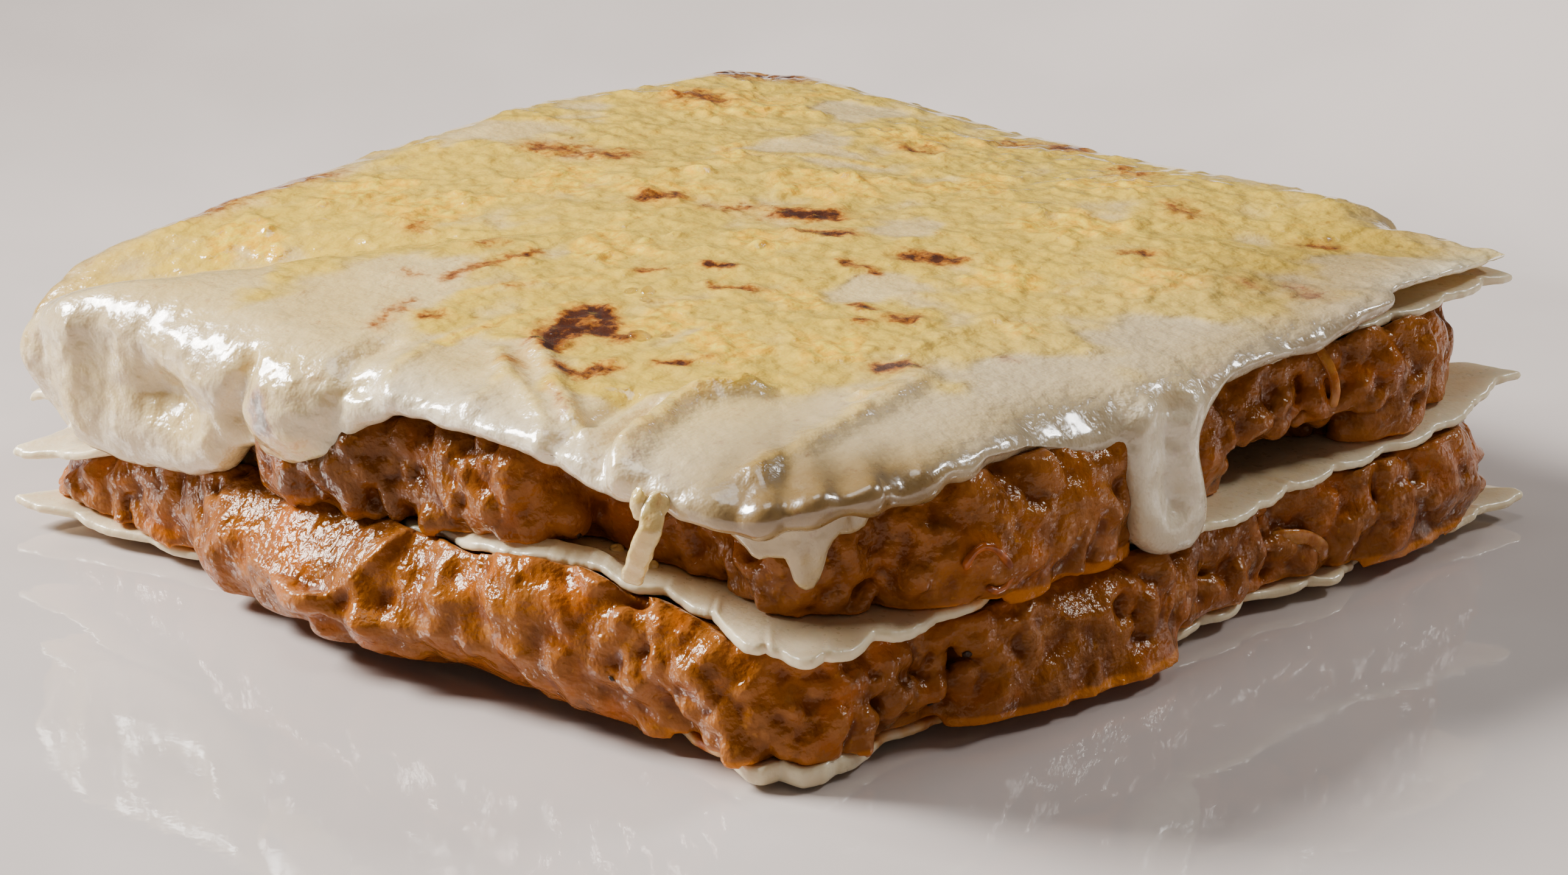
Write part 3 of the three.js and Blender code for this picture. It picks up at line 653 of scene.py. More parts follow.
    # the ring must run against the grid's outer edges
    if np.any((quads == ring[0]) & (np.roll(quads, -1, axis=1) == ring[1])):
        strip, fan = strip[:, ::-1], fan[:, ::-1]
    pad = np.zeros(nr + 1)
    t_p, t_q = tongue()
    quads = np.concatenate([quads, t_q + len(verts)])
    t_n = noise(t_p, 3.0, 49)
    verts = np.concatenate([verts, t_p])
    verts[:, 2] += WELL_Z
    t_s = locate(t_p[:, 0], t_p[:, 1])[0]
    # the hanging tongue carries painted shade all over
    hang = {"yellow": 0.35 * hump(t_s, 85.3, 1.2) * np.exp(-((t_p[:, 2] - 18.0) / 1.2) ** 2), "olive": 0.2 + 0.2 * t_n, "brown": 0 * t_s, "halo": 0 * t_s,
        "side": 1 + 0 * t_s, "painted_shade": 0.55 + 0.25 * t_n, "milk_and_painted_light": 0.2 + 0 * t_s, "warm_painted_shade": 0 * t_s, "calm": 0.6 + 0 * t_s}
    # painted shade: darker and greyer where the sauce hangs from the front corner and the right-hand side
    painted_shade = side ** (1 - 0.45 * hump(fs, 88, 12, 4)) * smooth(72, 82, fs) * (1 - smooth(150, 165, fs)) * smooth(25.5, 22, zz) * (1 - hump(fs, 124.4, 5.4, 4)) * (1 - 0.45 * smooth(96, 104, fs))
    # whiter sauce on the right-hand side and the top near it; painted light on the drip and down the left-hand side
    rim_b = smooth(24, 37, x) * (1 - side) * (1 - smooth(10, 30, y)) * (1 - 0.7 * olive)
    # more painted shade on the top near the right-hand edge and down the front corner
    painted_shade = painted_shade + 0.33 * rim_b + 0.24 * side * hump(fs, 89, 9, 4) + 0.5 * smooth(22, 36, x) * (1 - side) * smooth(8, 20, y)
    milk_and_painted_light = np.maximum(0.35 * rim_b, 0.5 * side * smooth(98, 106, fs) * (1 - smooth(160, 170, fs)))
    # painted shade with a warmer tint on the left-hand and back sides of the hanging part
    warm_painted_shade = 0.55 * side * (1 - smooth(72, 82, fs)) * (1 - 0.7 * hump(fs, 9, 6)) * (1 - 0.8 * hump(fs, 55, 19, 4)) + side * smooth(170, 180, fs)
    milk_and_painted_light = np.maximum(milk_and_painted_light, 0.62 * side * hump(fs, 124.4, 5.4, 4) * smooth(23.5, 20.5, zz)) + 0.3 * side * (1 - smooth(72, 82, fs)) \
        + 0.3 * side * hump(fs, 55, 19, 4)
    attrs = {k2: np.concatenate([v2, pad, hang[k2]]) for k2, v2 in
        {"yellow": yellow, "olive": olive, "brown": brown, "halo": halo, "side": side, "painted_shade": painted_shade, "milk_and_painted_light": milk_and_painted_light, "warm_painted_shade": warm_painted_shade,
        "calm": hump(fs, 88, 12, 4) * smooth(0.5, 0.85, t.reshape(-1)) * (1 - np.clip(yellow + olive, 0, 1))}.items()}
    return make_mesh("cream_cheese_topping_baked", verts, [quads, strip, fan], attrs)


def outer_ring(n):
    """Grid indices round the edge, in the order of s from the left corner."""
    e = n - 1
    ids = [(i, 0) for i in range(0, e)] + [(e, j) for j in range(0, e)] + [(i, e) for i in range(e, 0, -1)] + [(0, j) for j in range(e, 0, -1)]
    return [i * n + j for i, j in ids]


# ---------------------------------------------------------------- pasta
def crimp(i, s):
    """A sheet's edge at s: how far it stands out, how high its ribs are, and its ripple."""
    p = flat(s, 0 * s, 10.0 * i)
    phase = s / 5.667 + 0.25 * noise(p, 9.0, 50 + i) + 0.3 * i
    f = phase - np.floor(phase)
    amp = np.clip(0.42 + 0.35 * noise(p, 13.0, 53 + i), 0.08, 0.8)
    if i == 1:
        amp = amp * (1 - 0.75 * hump(s, 48, 27, 6)) + 0.22 * hump(s, 86, 9, 4)
    if i == 0:
        amp = amp + 0.2 * hump(s, 85, 9, 4) + 0.35 * hump(s, 140, 14, 4)
    out = amp * (np.sin(np.pi * f) ** 0.7 - 0.68)
    out = out + 0.2 * noise(p, 2.4, 59 + i) + 0.13 * noise(p, 0.75, 56 + i) + 0.25 * noise(p, 6.0, 57 + i)
    near = np.minimum(f, 1 - f)
    rib = np.exp(-((f - 0.08) / 0.06) ** 2) - 0.5 * np.exp(-((near - 0.0) / 0.05) ** 2)
    return out, 0.9 * amp * rib * np.clip(0.6 + 1.2 * noise(p, 7.0, 58 + i), 0, 1.3), np.cos(2 * np.pi * phase)


def pasta(i, name):
    n = 1300
    s = np.arange(n) * PERIMETER / n
    sx, sy = square(s)
    c_out, c_rib, c_wave = crimp(i, s)
    edge = sheet_out(i, s) + c_out
    inset = [10.5, 7.8, 6.0, 4.8, 3.8, 3.0, 2.3, 1.75, 1.25, 0.8, 0.5]
    rows = []

    def thickness(off):
        return SHEET - 0.12 - 0.42 * math.exp(-max(off - 0.3, 0) / 1.5)

    def row(off, zf, t):
        """off: mm inside the edge; zf: -1 under side to 1 top; t: thickness there."""
        k = 1 + (edge - off) / HALF
        t = t + (1.0 * hump(s, 86.5, 6, 4) * math.exp(-off / 1.5) if i == 0 else 0.25 * hump(s, 88, 14, 4) * math.exp(-off / 2))
        z = sheet_z(i, s, k) + SHEET / 2 + zf * t / 2
        fade = math.exp(-(max(off - 0.5, 0) / 1.7) ** 2)
        z = z + 0.34 * c_rib * fade * (0.5 + 0.5 * zf) - 0.12 * c_rib * fade * (0.5 - 0.5 * zf)
        if i == 1:
            z = z + 0.6 * hump(s, 60, 8, 4) * math.exp(-((off - 1.3) / 0.6) ** 2) * (0.8 + 0.4 * zf)
        z = z + 0.11 * c_wave * math.exp(-off / 2.5) + 0.12 * noise(flat(sx * k, sy * k), 5.0, 61 + i) * math.exp(-off / 7)
        z = z + 0.04 * noise(flat(sx * k, sy * k, zf), 0.8, 66 + i) * math.exp(-off / 2)
        rows.append(np.stack([sx * k, sy * k, z + WELL_Z], -1))
    for off in inset:
        row(off, 1, thickness(off))
    r = 0.3
    for a in np.linspace(0, np.pi, 7):
        row(r - r * math.sin(a), math.cos(a), thickness(0))
    for off in inset[::-1]:
        row(off, -1, thickness(off))
    p = np.array(rows)
    nrow = len(p)
    quads = grid_faces(nrow, n)
    verts = np.concatenate([p.reshape(-1, 3), [[0, 0, Z_SHEET[i] + SHEET + WELL_Z], [0, 0, Z_SHEET[i] + WELL_Z]]])
    j = np.arange(n)
    top = np.stack([(j + 1) % n, j, np.full(n, nrow * n)], -1)
    low = np.stack([(nrow - 1) * n + j, (nrow - 1) * n + (j + 1) % n, np.full(n, nrow * n + 1)], -1)
    if signed_volume(verts - verts.mean(0), [quads, top, low]) < 0:
        quads, top, low = quads[:, ::-1], top[:, ::-1], low[:, ::-1]
    offs = np.array(inset + [0.1] * 7 + inset[::-1])
    rim = np.concatenate([np.tile(np.exp(-offs[:, None] / 1.2), (1, n)).ravel(), [0, 0]])
    rib = np.concatenate([(np.exp(-(offs[:, None] / 2.0) ** 2) * np.maximum(c_rib, 0)).ravel(), [0, 0]])
    s_all, k_all = locate(verts[:, 0], verts[:, 1])
    stain = np.zeros(len(verts))
    if i < 2:
        past = (k_all - 1) * HALF - meat_out(i, s_all) - 0.45 * meat_bulge(i, s_all)
        stain = np.exp(-np.maximum(past, 0) / 0.4) * (0.7 + 0.6 * noise(verts, 5.0, 91 + i))
        if i == 1:
            stain = stain * (1 - 0.45 * hump(s_all, 114, 10, 6)) + 0.35 * hump(s_all, 84, 16, 4) * np.exp(-np.maximum(past + 0.4, 0) / 0.7)
            stain *= 1 - hump(s_all, 143, 9, 8)
    return make_mesh(name, verts, [quads, top, low], {"rim": rim, "stain": stain, "rib": rib})


# ---------------------------------------------------------------- meat
def spline_noise(shape, cell, rng):
    g = rng.normal(size=[int(np.ceil(n / cell)) + 4 for n in shape])
    for ax, n in enumerate(shape):
        t = np.arange(n) / cell
        i = np.floor(t).astype(int)
        f = t - i
        w = [(1 - f) ** 3 / 6, (3 * f ** 3 - 6 * f ** 2 + 4) / 6, (-3 * f ** 3 + 3 * f ** 2 + 3 * f + 1) / 6, f ** 3 / 6]
        mat = np.zeros((n, g.shape[ax]))
        for q in range(4):
            mat[np.arange(n), i + q] += w[q]
        g = np.moveaxis(np.tensordot(mat, g, axes=(1, ax)), 0, ax)
    return (g / g.std()).astype(np.float32)


def side_profile(i, s, t):
    """Share of the bulge at share t of a layer's height: a roll on one side, a spread foot elsewhere."""
    levels = [-0.3, 0, 0.16, 0.42, 0.72, 1.0, 1.3]
    if i == 1:
        return np.interp(t, levels, [0.3, 0.55, 0.8, 1.0, 0.82, 0.3, -0.3])
    roll = smooth(14, 24, s) * (1 - smooth(64, 80, s)) + smooth(240, 250, s) * (1 - smooth(300, 312, s))
    return roll * np.interp(t, levels, [-0.5, 0.1, 0.62, 1.0, 0.88, 0.46, -0.1]) \
        + (1 - roll) * np.interp(t, levels, [0.9, 1.0, 0.98, 0.82, 0.55, 0.15, -0.3])


def ridges(s, z):
    """Rounded folds of the lower layer's rolled side."""
    p = np.stack(np.broadcast_arrays(s, 0 * s, 0.6 * z), -1)
    phase = s / 5.4 + 0.7 * noise(p, 8.0, 81) + 0.3 * noise(p, 3.4, 83) + 0.11 * z
    f = phase - np.floor(phase)
    round_top = 0.6 * np.sin(np.pi * f) + 0.4 * (0.5 - 0.5 * np.cos(2 * np.pi * f))
    return (round_top - 0.5) * np.clip(0.75 + 0.9 * noise(p, 6.0, 84), 0.15, 1.3)


def hollows(pts, quads, passes=7):
    """0 on a bump to 1 in a hollow, against the surface smoothed by some passes."""
    a = np.concatenate([quads[:, q] for q in range(4)] + [quads[:, (q + 1) % 4] for q in range(4)])
    b = np.concatenate([quads[:, (q + 1) % 4] for q in range(4)] + [quads[:, q] for q in range(4)])
    count = np.maximum(np.bincount(a, minlength=len(pts)), 1)
    p = pts.copy()
    for _ in range(passes):
        p = np.stack([np.bincount(a, weights=p[b, x], minlength=len(pts)) for x in range(3)], -1) / count[:, None]
    nor = vertex_normals(pts, [quads])
    way = np.stack([pts[:, 0], pts[:, 1], 0 * pts[:, 0]], -1)
    if ((nor * way).sum(-1)[np.abs(pts).max(-1) > 35] > 0).mean() < 0.5:
        nor = -nor
    return np.clip(0.5 + ((p - pts) * nor).sum(-1) / 0.3, 0, 1)


def meat(i, name):
    h = 0.34
    rng = np.random.default_rng(SEED + 10 + i)
    lo = np.array([-49.0, -49.0, 0.9 if i == 0 else 9.2])
    hi = np.array([49.0, 49.0, 14.0 if i == 0 else 21.6])
    shape = np.ceil((hi - lo) / h).astype(int) + 1
    xs, ys, zs = [lo[a] + h * np.arange(shape[a]) for a in range(3)]
    X2, Y2 = np.meshgrid(xs, ys, indexing="ij")
    s2, k2 = locate(X2, Y2)
    e_low, e_high = sheet_out(i, s2), sheet_out(i + 1, s2)
    off2 = (k2 - 1) * HALF
    floor = sheet_z(i, s2, np.minimum(k2, 1 + e_low / HALF)) + SHEET + 0.04
    ceil = sheet_z(i + 1, s2, np.minimum(k2, 1 + (e_high - 0.8) / HALF)) - 0.06
    floor = floor - 1.2 * smooth(0.2, 1.6, off2 - e_low)
    ceil_eff = ceil + (0.5 + 0.8 * hump(s2, 48, 26, 6) if i == 0 else 1.2) * smooth(-0.6, 1.2, off2 - e_high)
    if i == 0:
        past = np.clip(off2 - e_high - 0.6, 0, 6)
        ceil_eff = ceil_eff - 0.14 * past ** 2 + 0.3 * np.minimum(past, 1) * noise(flat(X2, Y2), 2.4, 37)
    t = (zs[None, None, :] - floor[..., None]) / (ceil - floor)[..., None]
    wall = meat_out(i, s2)[..., None] + meat_bulge(i, s2)[..., None] * side_profile(i, s2[..., None], t)
    if i == 1:
        tip = hump(s2, 146, 2.6)[..., None]
        wall = wall - (9.5 * hump(s2, 143.2, 8.4, 8))[..., None] * (1 - smooth(0.2 + 0.12 * tip, 0.46 + 0.12 * tip, t))
    near = off2 > -9
    rough = 0.5 * spline_noise(shape, 6.0 / h, rng) + 0.42 * spline_noise(shape, 2.7 / h, rng)
    wall = wall + rough
    if i == 0:
        # the sheet below shows in front of the foot here
        shows = np.clip(hump(s2, 86, 12.5, 6) + hump(s2, 138, 10.5, 8) + hump(s2, 0, 16, 6) + hump(s2, 215, 20, 6), 0, 1)[..., None]
        reach = (e_low - 0.75 - 0.8 * hump(s2, 143, 3.5))[..., None] + 3.2 * smooth(0.05, 0.6, t)
        soft = np.minimum(wall, reach)
        wall = wall + (soft - wall) * shows
    if i == 0:
        fold = smooth(16, 26, s2) * (1 - smooth(70, 84, s2)) + 0.35 * hump(s2, 118, 26, 4)
        zz = np.broadcast_to(zs[None, None, :], t.shape)
        add = np.zeros(t.shape)
        sel = near & (fold > 0.02)
        add[sel] = (0.52 * fold[..., None] * ridges(np.broadcast_to(s2[..., None], t.shape), zz))[sel]
        wall = wall + add
    f = (off2[..., None] - wall).astype(np.float32) * 0.85
    # grains and nuggets of mince at the cut face
    count = 4400
    ss = rng.uniform(0, PERIMETER, count)
    tt = rng.uniform(0.02, 0.97, count)
    big = rng.random(count) < 0.05
    rad = np.where(big, rng.uniform(1.8, 2.7, count), rng.uniform(0.5, 1.2, count))
    sunk = np.where(big, rng.uniform(0.55, 0.85, count), rng.uniform(0.1, 0.75, count))
    fixed = []
    if i == 1:
        # the big nuggets that show: s, share of the height, radius, how far it is sunk
        fixed = [(152.6, 0.66, 3.7, 0.62), (133.6, 0.22, 1.9, 0.5), (65.5, 0.5, 2.6, 0.7), (59.0, 0.5, 2.4, 0.8), (140.0, 0.66, 2.6, 0.75)]
    for s_f, t_f, r_f, k_f in fixed:
        ss, tt, rad, sunk = np.append(ss, s_f), np.append(tt, t_f), np.append(rad, r_f), np.append(sunk, k_f)
        big = np.append(big, True)
    fl_all, ce_all = sheet_z(i, ss, 0.97) + SHEET, sheet_z(i + 1, ss, 0.97)
    ix, iy = square(ss)
    base_o, bulge_o, prof = meat_out(i, ss), meat_bulge(i, ss), side_profile(i, ss, tt)
    pit = 9.5 * hump(ss, 143.2, 8.4, 8) * (1 - smooth(0.2, 0.46, tt)) if i == 1 else 0 * ss
    limit = sheet_out(i, ss) - 0.5 + 3.2 * smooth(0.05, 0.6, tt) if i == 0 else 50 + 0 * ss
    for c in range(len(ss)):
        z0 = float(fl_all[c] + (ce_all[c] - fl_all[c]) * tt[c])
        r = float(rad[c])
        o0 = min(float(base_o[c] + bulge_o[c] * prof[c] - pit[c]), float(limit[c])) - r * float(sunk[c])
        k0 = 1 + o0 / HALF
        cx, cy = float(ix[c]) * k0, float(iy[c]) * k0
        axes = rng.uniform(0.75, 1.35, 3) * r
        rot = _rotation(rng)
        reach = axes.max() + 1.0
        a = [max(0, int((v - reach - l) / h)) for v, l in zip((cx, cy, z0), lo)]
        b = [min(int(n), int((v + reach - l) / h) + 2) for v, l, n in zip((cx, cy, z0), lo, shape)]
        if any(q >= w for q, w in zip(a, b)):
            continue
        gx, gy, gz = np.meshgrid(xs[a[0]:b[0]] - cx, ys[a[1]:b[1]] - cy, zs[a[2]:b[2]] - z0, indexing="ij")
        q = np.stack([gx, gy, gz], -1) @ rot
        e = np.sqrt(((q / axes) ** 2).sum(-1))
        dist = (e - 1) * axes.mean()
        sub = f[a[0]:b[0], a[1]:b[1], a[2]:b[2]]
        kk = 0.42
        hh = np.maximum(kk - np.abs(sub - dist), 0) / kk
        sub[...] = np.minimum(sub, dist) - hh * hh * kk * 0.25
    f += 0.2 * spline_noise(shape, 1.15 / h, rng)
    f = np.maximum(f, floor[..., None] - zs[None, None, :])
    f = np.maximum(f, zs[None, None, :] - ceil_eff[..., None])
    f[0], f[-1], f[:, 0], f[:, -1], f[:, :, 0], f[:, :, -1] = 1, 1, 1, 1, 1, 1
    pts, quads = surface_nets(f, lo, h)
    s1, k1 = locate(pts[:, 0], pts[:, 1])
    o1 = (k1 - 1) * HALF
    deep = meat_out(i, s1) - 2.8 - (9.5 * hump(s1, 143.2, 9.0, 6) if i == 1 else 0)
    if i == 0:
        deep = np.minimum(deep, sheet_out(1, s1) - 2.0)
    pts, quads, tris, inv = cluster(pts, quads, o1 < deep, 3.0)
    s1, k1 = locate(pts[:, 0], pts[:, 1])
    fl = sheet_z(i, s1, np.minimum(k1, 1 + sheet_out(i, s1) / HALF)) + SHEET
    ce = sheet_z(i + 1, s1, np.minimum(k1, 1 + sheet_out(i + 1, s1) / HALF))
    low = np.exp(-np.maximum(0, pts[:, 2] - fl) / 0.5)
    if i == 0:
        low *= 1 - 0.75 * smooth(14, 24, s1) * (1 - smooth(64, 78, s1))
    share = np.clip((pts[:, 2] - fl) / (ce - fl), 0, 1)
    outer = meat_out(i, s1) + meat_bulge(i, s1) * side_profile(i, s1, share)
    # painted shade: darker where the face lies recessed behind the layer's outer wall
    deep = smooth(0.9, 4.0, outer - (k1 - 1) * HALF) * 0.75
    pts[:, 2] += WELL_Z
    # painted shade on the upper layer under the topping's hanging left-hand side
    if i == 1:
        deep = np.maximum(deep, 0.45 * hump(s1, 34, 22, 4))
    return make_mesh(name, pts, [quads, tris], {"low": low, "deep": deep, "cav": hollows(pts, quads)})


def _rotation(rng):
    q = rng.normal(size=4)
    q /= np.linalg.norm(q)
    w, x, y, z = q
    return np.array([[1 - 2 * (y * y + z * z), 2 * (x * y - z * w), 2 * (x * z + y * w)],
        [2 * (x * y + z * w), 1 - 2 * (x * x + z * z), 2 * (y * z - x * w)],
        [2 * (x * z - y * w), 2 * (y * z + x * w), 1 - 2 * (x * x + y * y)]])


# ---------------------------------------------------------------- plate
def plate():
    rim_r, well_r, rim_z = 145.0, 95.0, 23.0
    def rise(r):
        return WELL_Z + (rim_z - WELL_Z) * (np.maximum(0, r - well_r) / (rim_r - well_r)) ** 1.75
    r_in = np.concatenate([[0.02], np.linspace(8, 94, 18), np.linspace(95, 143.0, 34)])
    prof = [(r, rise(r)) for r in r_in]
    a = np.linspace(np.pi / 2 + 0.35, -np.pi / 2 + 0.35, 12)
    lip = [(143.6 + 1.4 * math.cos(v), 21.55 + 1.45 * math.sin(v)) for v in a]
    prof = prof + lip[1:]
    r_out = np.linspace(141.0, 99.0, 22)
    prof += [(r + 1.0, rise(r) - 3.4) for r in r_out]
    prof += [(92, 3.9), (89, 3.3), (87.2, 2.2), (86.3, 1.0), (85.8, 0.35), (85.2, 0.0), (82.8, 0.0), (82.2, 0.35), (81.6, 1.2), (80.6, 2.2), (79, 2.8)]
    prof += [(r, 3.0) for r in (70, 50, 25, 0.02)]
    prof = np.array(prof)
    n = 224
    ang = np.arange(n) * 2 * np.pi / n
    p = np.stack([prof[:, :1] * np.cos(ang), prof[:, :1] * np.sin(ang), np.repeat(prof[:, 1:], n, 1)], -1)
    quads = grid_faces(len(prof), n)
    verts = p.reshape(-1, 3)
    nor = vertex_normals(verts, [quads])
    j = np.arange(n)
    if nor[3 * n, 2] < 0:
        quads = quads[:, ::-1]
    return make_mesh("plate_glazed", verts, [quads])


# ---------------------------------------------------------------- small pieces
def ribbon(path, width, thick, seed, rings=46, sides=20, flare=0.0, faces=(0.62, -0.78, 0.0), rough=0.14):
    """A flat, soft-edged strand along a path of (x, y, z) points; returns points and faces."""
    path = np.asarray(path, float)
    seg = np.concatenate([[0], np.cumsum(np.linalg.norm(np.diff(path, axis=0), axis=1))])
    t = np.linspace(0, seg[-1], rings)
    c = np.stack([np.interp(t, seg, path[:, a]) for a in range(3)], -1)
    for _ in range(6):
        c[1:-1] = (c[:-2] + 2 * c[1:-1] + c[2:]) / 4
    d = np.gradient(c, axis=0)
    d /= np.linalg.norm(d, axis=1, keepdims=True)
    outw = np.array(faces)
    side = np.cross(d, outw)
    side /= np.linalg.norm(side, axis=1, keepdims=True)
    up = np.cross(side, d)
    a = np.arange(sides) * 2 * np.pi / sides
    ca, sa = np.sign(np.cos(a)) * np.abs(np.cos(a)) ** 0.6, np.sign(np.sin(a)) * np.abs(np.sin(a)) ** 0.8
    u = np.linspace(0, 1, rings)
    end = np.clip(np.minimum(u / 0.05, (1 - u) / 0.045), 0, 1) ** 0.5
    w = width / 2 * (1 + flare * u) * (0.35 + 0.65 * end)
    h = thick / 2 * (0.4 + 0.6 * end)
    p = c[:, None] + side[:, None] * (w[:, None] * ca)[..., None] + up[:, None] * (h[:, None] * sa)[..., None]
    n = p - c[:, None]
    n /= np.maximum(np.linalg.norm(n, axis=-1, keepdims=True), 1e-9)
    p = p + n * (rough * (noise(p, 1.3, seed) + 0.4 * noise(p, 0.5, seed + 1)))[..., None]
    verts = np.concatenate([p.reshape(-1, 3), c[:1], c[-1:]])
    quads = grid_faces(rings, sides)
    j = np.arange(sides)
    fan = np.concatenate([np.stack([(j + 1) % sides, j, np.full(sides, rings * sides)], -1),
        np.stack([(rings - 1) * sides + j, (rings - 1) * sides + (j + 1) % sides, np.full(sides, rings * sides + 1)], -1)])
    return verts, quads, fan


def signed_volume(verts, faces):
    v = 0.0
    for f in faces:
        if not len(f):
            continue
        for k in range(1, f.shape[1] - 1):
            v += np.einsum("ij,ij->i", verts[f[:, 0]], np.cross(verts[f[:, k]], verts[f[:, k + 1]])).sum()
    return v


def join(parts):
    """Joins (verts, quads, tris) triples, each turned to face outward."""
    vs, qs, ts, n = [], [], [], 0
    for v, q, t in parts:
        q = np.zeros((0, 4), int) if q is None else q
        t = np.zeros((0, 3), int) if t is None else t
        if signed_volume(v - v.mean(0), [q, t]) < 0:
            q, t = q[:, ::-1], t[:, ::-1]
        vs.append(v); qs.append(q + n); ts.append(t + n)
        n += len(v)
    return np.concatenate(vs), np.concatenate(qs), np.concatenate(ts)


def blob(center, axes, seed, rough=0.1, rot=None, rings=14, sides=22):
    """A lumpy ellipsoid."""
    th = np.linspace(0, np.pi, rings)[1:-1]
    a = np.arange(sides) * 2 * np.pi / sides
    p = np.stack([np.sin(th)[:, None] * np.cos(a), np.sin(th)[:, None] * np.sin(a), np.repeat(np.cos(th)[:, None], sides, 1)], -1)
    verts = np.concatenate([p.reshape(-1, 3), [[0, 0, 1], [0, 0, -1]]])
    r = 1 + rough * noise(verts * 1.0 + seed * 3.7, 0.7, seed % 50)
    verts = verts * r[:, None] * np.asarray(axes, float)
    if rot is not None:
        verts = verts @ rot.T
    verts = verts + np.asarray(center, float)
    m = rings - 2
    quads = grid_faces(m, sides)
    j = np.arange(sides)
    fan = np.concatenate([np.stack([(j + 1) % sides, j, np.full(sides, m * sides)], -1),
        np.stack([(m - 1) * sides + j, (m - 1) * sides + (j + 1) % sides, np.full(sides, m * sides + 1)], -1)])
    return verts, quads, fan


# ---------------------------------------------------------------- small things on the surfaces
def tree_of(o):
    me = o.data
    co = np.zeros(len(me.vertices) * 3, np.float32)
    me.vertices.foreach_get("co", co)
    co = co.reshape(-1, 3) * 1000
    return BVHTree.FromPolygons(co.tolist(), [tuple(f.vertices) for f in me.polygons])


def facing(normal, turn=0.0):
    """Rotation whose third column is the normal."""
    n = np.asarray(normal, float)
    n = n / np.linalg.norm(n)
    a = np.cross([0.0, 0.0, 1.0] if abs(n[2]) < 0.9 else [1.0, 0.0, 0.0], n)
    a /= np.linalg.norm(a)
    b = np.cross(n, a)
    c, s = math.cos(turn), math.sin(turn)
    return np.stack([c * a + s * b, c * b - s * a, n], 1)


def nearest(tree, point):
    loc, nor, _, _ = tree.find_nearest([float(v) for v in point])
    return np.array(loc), np.array(nor)


def resting(tree, rows, rough=0.2, rings=10, sides=14):
    """Lumps set into the nearest surface: point, half sizes along it and out of it, how far out."""
    made = []
    for i, (point, axes, out, turn) in enumerate(rows):
        loc, nor = nearest(tree, point)
        made.append(blob(loc + nor * out, axes, 11 + i, rough, facing(nor, turn), rings, sides))
    return made


# ---------------------------------------------------------------- materials
def rgb(r, g, b):
    def lin(c):
        c /= 255.0
        return c / 12.92 if c <= 0.04045 else ((c + 0.055) / 1.055) ** 2.4
    return (lin(r), lin(g), lin(b), 1.0)


class Material:
    def __init__(self, name):
        self.mat = bpy.data.materials.new(name)
        self.mat.use_nodes = True
        self.tree = self.mat.node_tree
        self.tree.nodes.clear()
        out = self.node("ShaderNodeOutputMaterial")
        self.shader = self.node("ShaderNodeBsdfPrincipled")
        self.tree.links.new(self.shader.outputs["BSDF"], out.inputs["Surface"])
        self.coords = self.node("ShaderNodeTexCoord").outputs["Object"]

    def node(self, kind, **props):
        n = self.tree.nodes.new(kind)
        for k, v in props.items():
            setattr(n, k, v)
        return n

    def put(self, sock, v):
        if isinstance(v, bpy.types.NodeSocket):
            self.tree.links.new(v, sock)
        elif v is not None:
            sock.default_value = v

    def set(self, **inputs):
        for k, v in inputs.items():
            self.put(self.shader.inputs[k.replace("_", " ")], v)

    def noise(self, size_mm, detail=2.0, rough=0.5, warp=0.0, vector=None, offset=0.0):
        n = self.node("ShaderNodeTexNoise")
        v = vector if vector is not None else self.coords
        if offset:
            m = self.node("ShaderNodeVectorMath", operation="ADD")
            self.put(m.inputs[0], v)
            m.inputs[1].default_value = (offset, offset * 0.7, offset * 1.3)
            v = m.outputs[0]
        self.put(n.inputs["Vector"], v)
        n.inputs["Scale"].default_value = 1000.0 / size_mm
        n.inputs["Detail"].default_value = detail
        n.inputs["Roughness"].default_value = rough
        n.inputs["Distortion"].default_value = warp
        return n.outputs["Fac"]

    def cells(self, size_mm, feature="F1", smooth_mm=None, out="Distance", randomness=1.0, vector=None):
        n = self.node("ShaderNodeTexVoronoi", feature=feature)
        self.put(n.inputs["Vector"], vector if vector is not None else self.coords)
        n.inputs["Scale"].default_value = 1000.0 / size_mm
        n.inputs["Randomness"].default_value = randomness
        if smooth_mm is not None:
            n.inputs["Smoothness"].default_value = smooth_mm
        return n.outputs[out]

    def math(self, op, a, b=0.0, c=0.0, clamp=False):
        n = self.node("ShaderNodeMath", operation=op, use_clamp=clamp)
        self.put(n.inputs[0], a)
        self.put(n.inputs[1], b)
        if len(n.inputs) > 2:
            self.put(n.inputs[2], c)
        return n.outputs[0]

    def ramp(self, v, a, b, c=0.0, d=1.0, kind="SMOOTHSTEP"):
        n = self.node("ShaderNodeMapRange", interpolation_type=kind, clamp=True)
        self.put(n.inputs[0], v)
        for i, x in enumerate((a, b, c, d)):
            self.put(n.inputs[1 + i], x)
        return n.outputs[0]

    def mix(self, f, a, b, kind="MIX"):
        n = self.node("ShaderNodeMix", data_type="RGBA", blend_type=kind)
        self.put(n.inputs[0], f)
        self.put(n.inputs[6], a)
        self.put(n.inputs[7], b)
        return n.outputs[2]

    def attr(self, name):
        n = self.node("ShaderNodeAttribute", attribute_type="GEOMETRY", attribute_name=name)
        return n.outputs["Fac"]

    def bump(self, height, mm, strength=1.0, normal=None):
        n = self.node("ShaderNodeBump")
        n.inputs["Strength"].default_value = strength
        n.inputs["Distance"].default_value = mm * 0.001
        self.put(n.inputs["Height"], height)
        if normal is not None:
            self.put(n.inputs["Normal"], normal)
        return n.outputs[0]


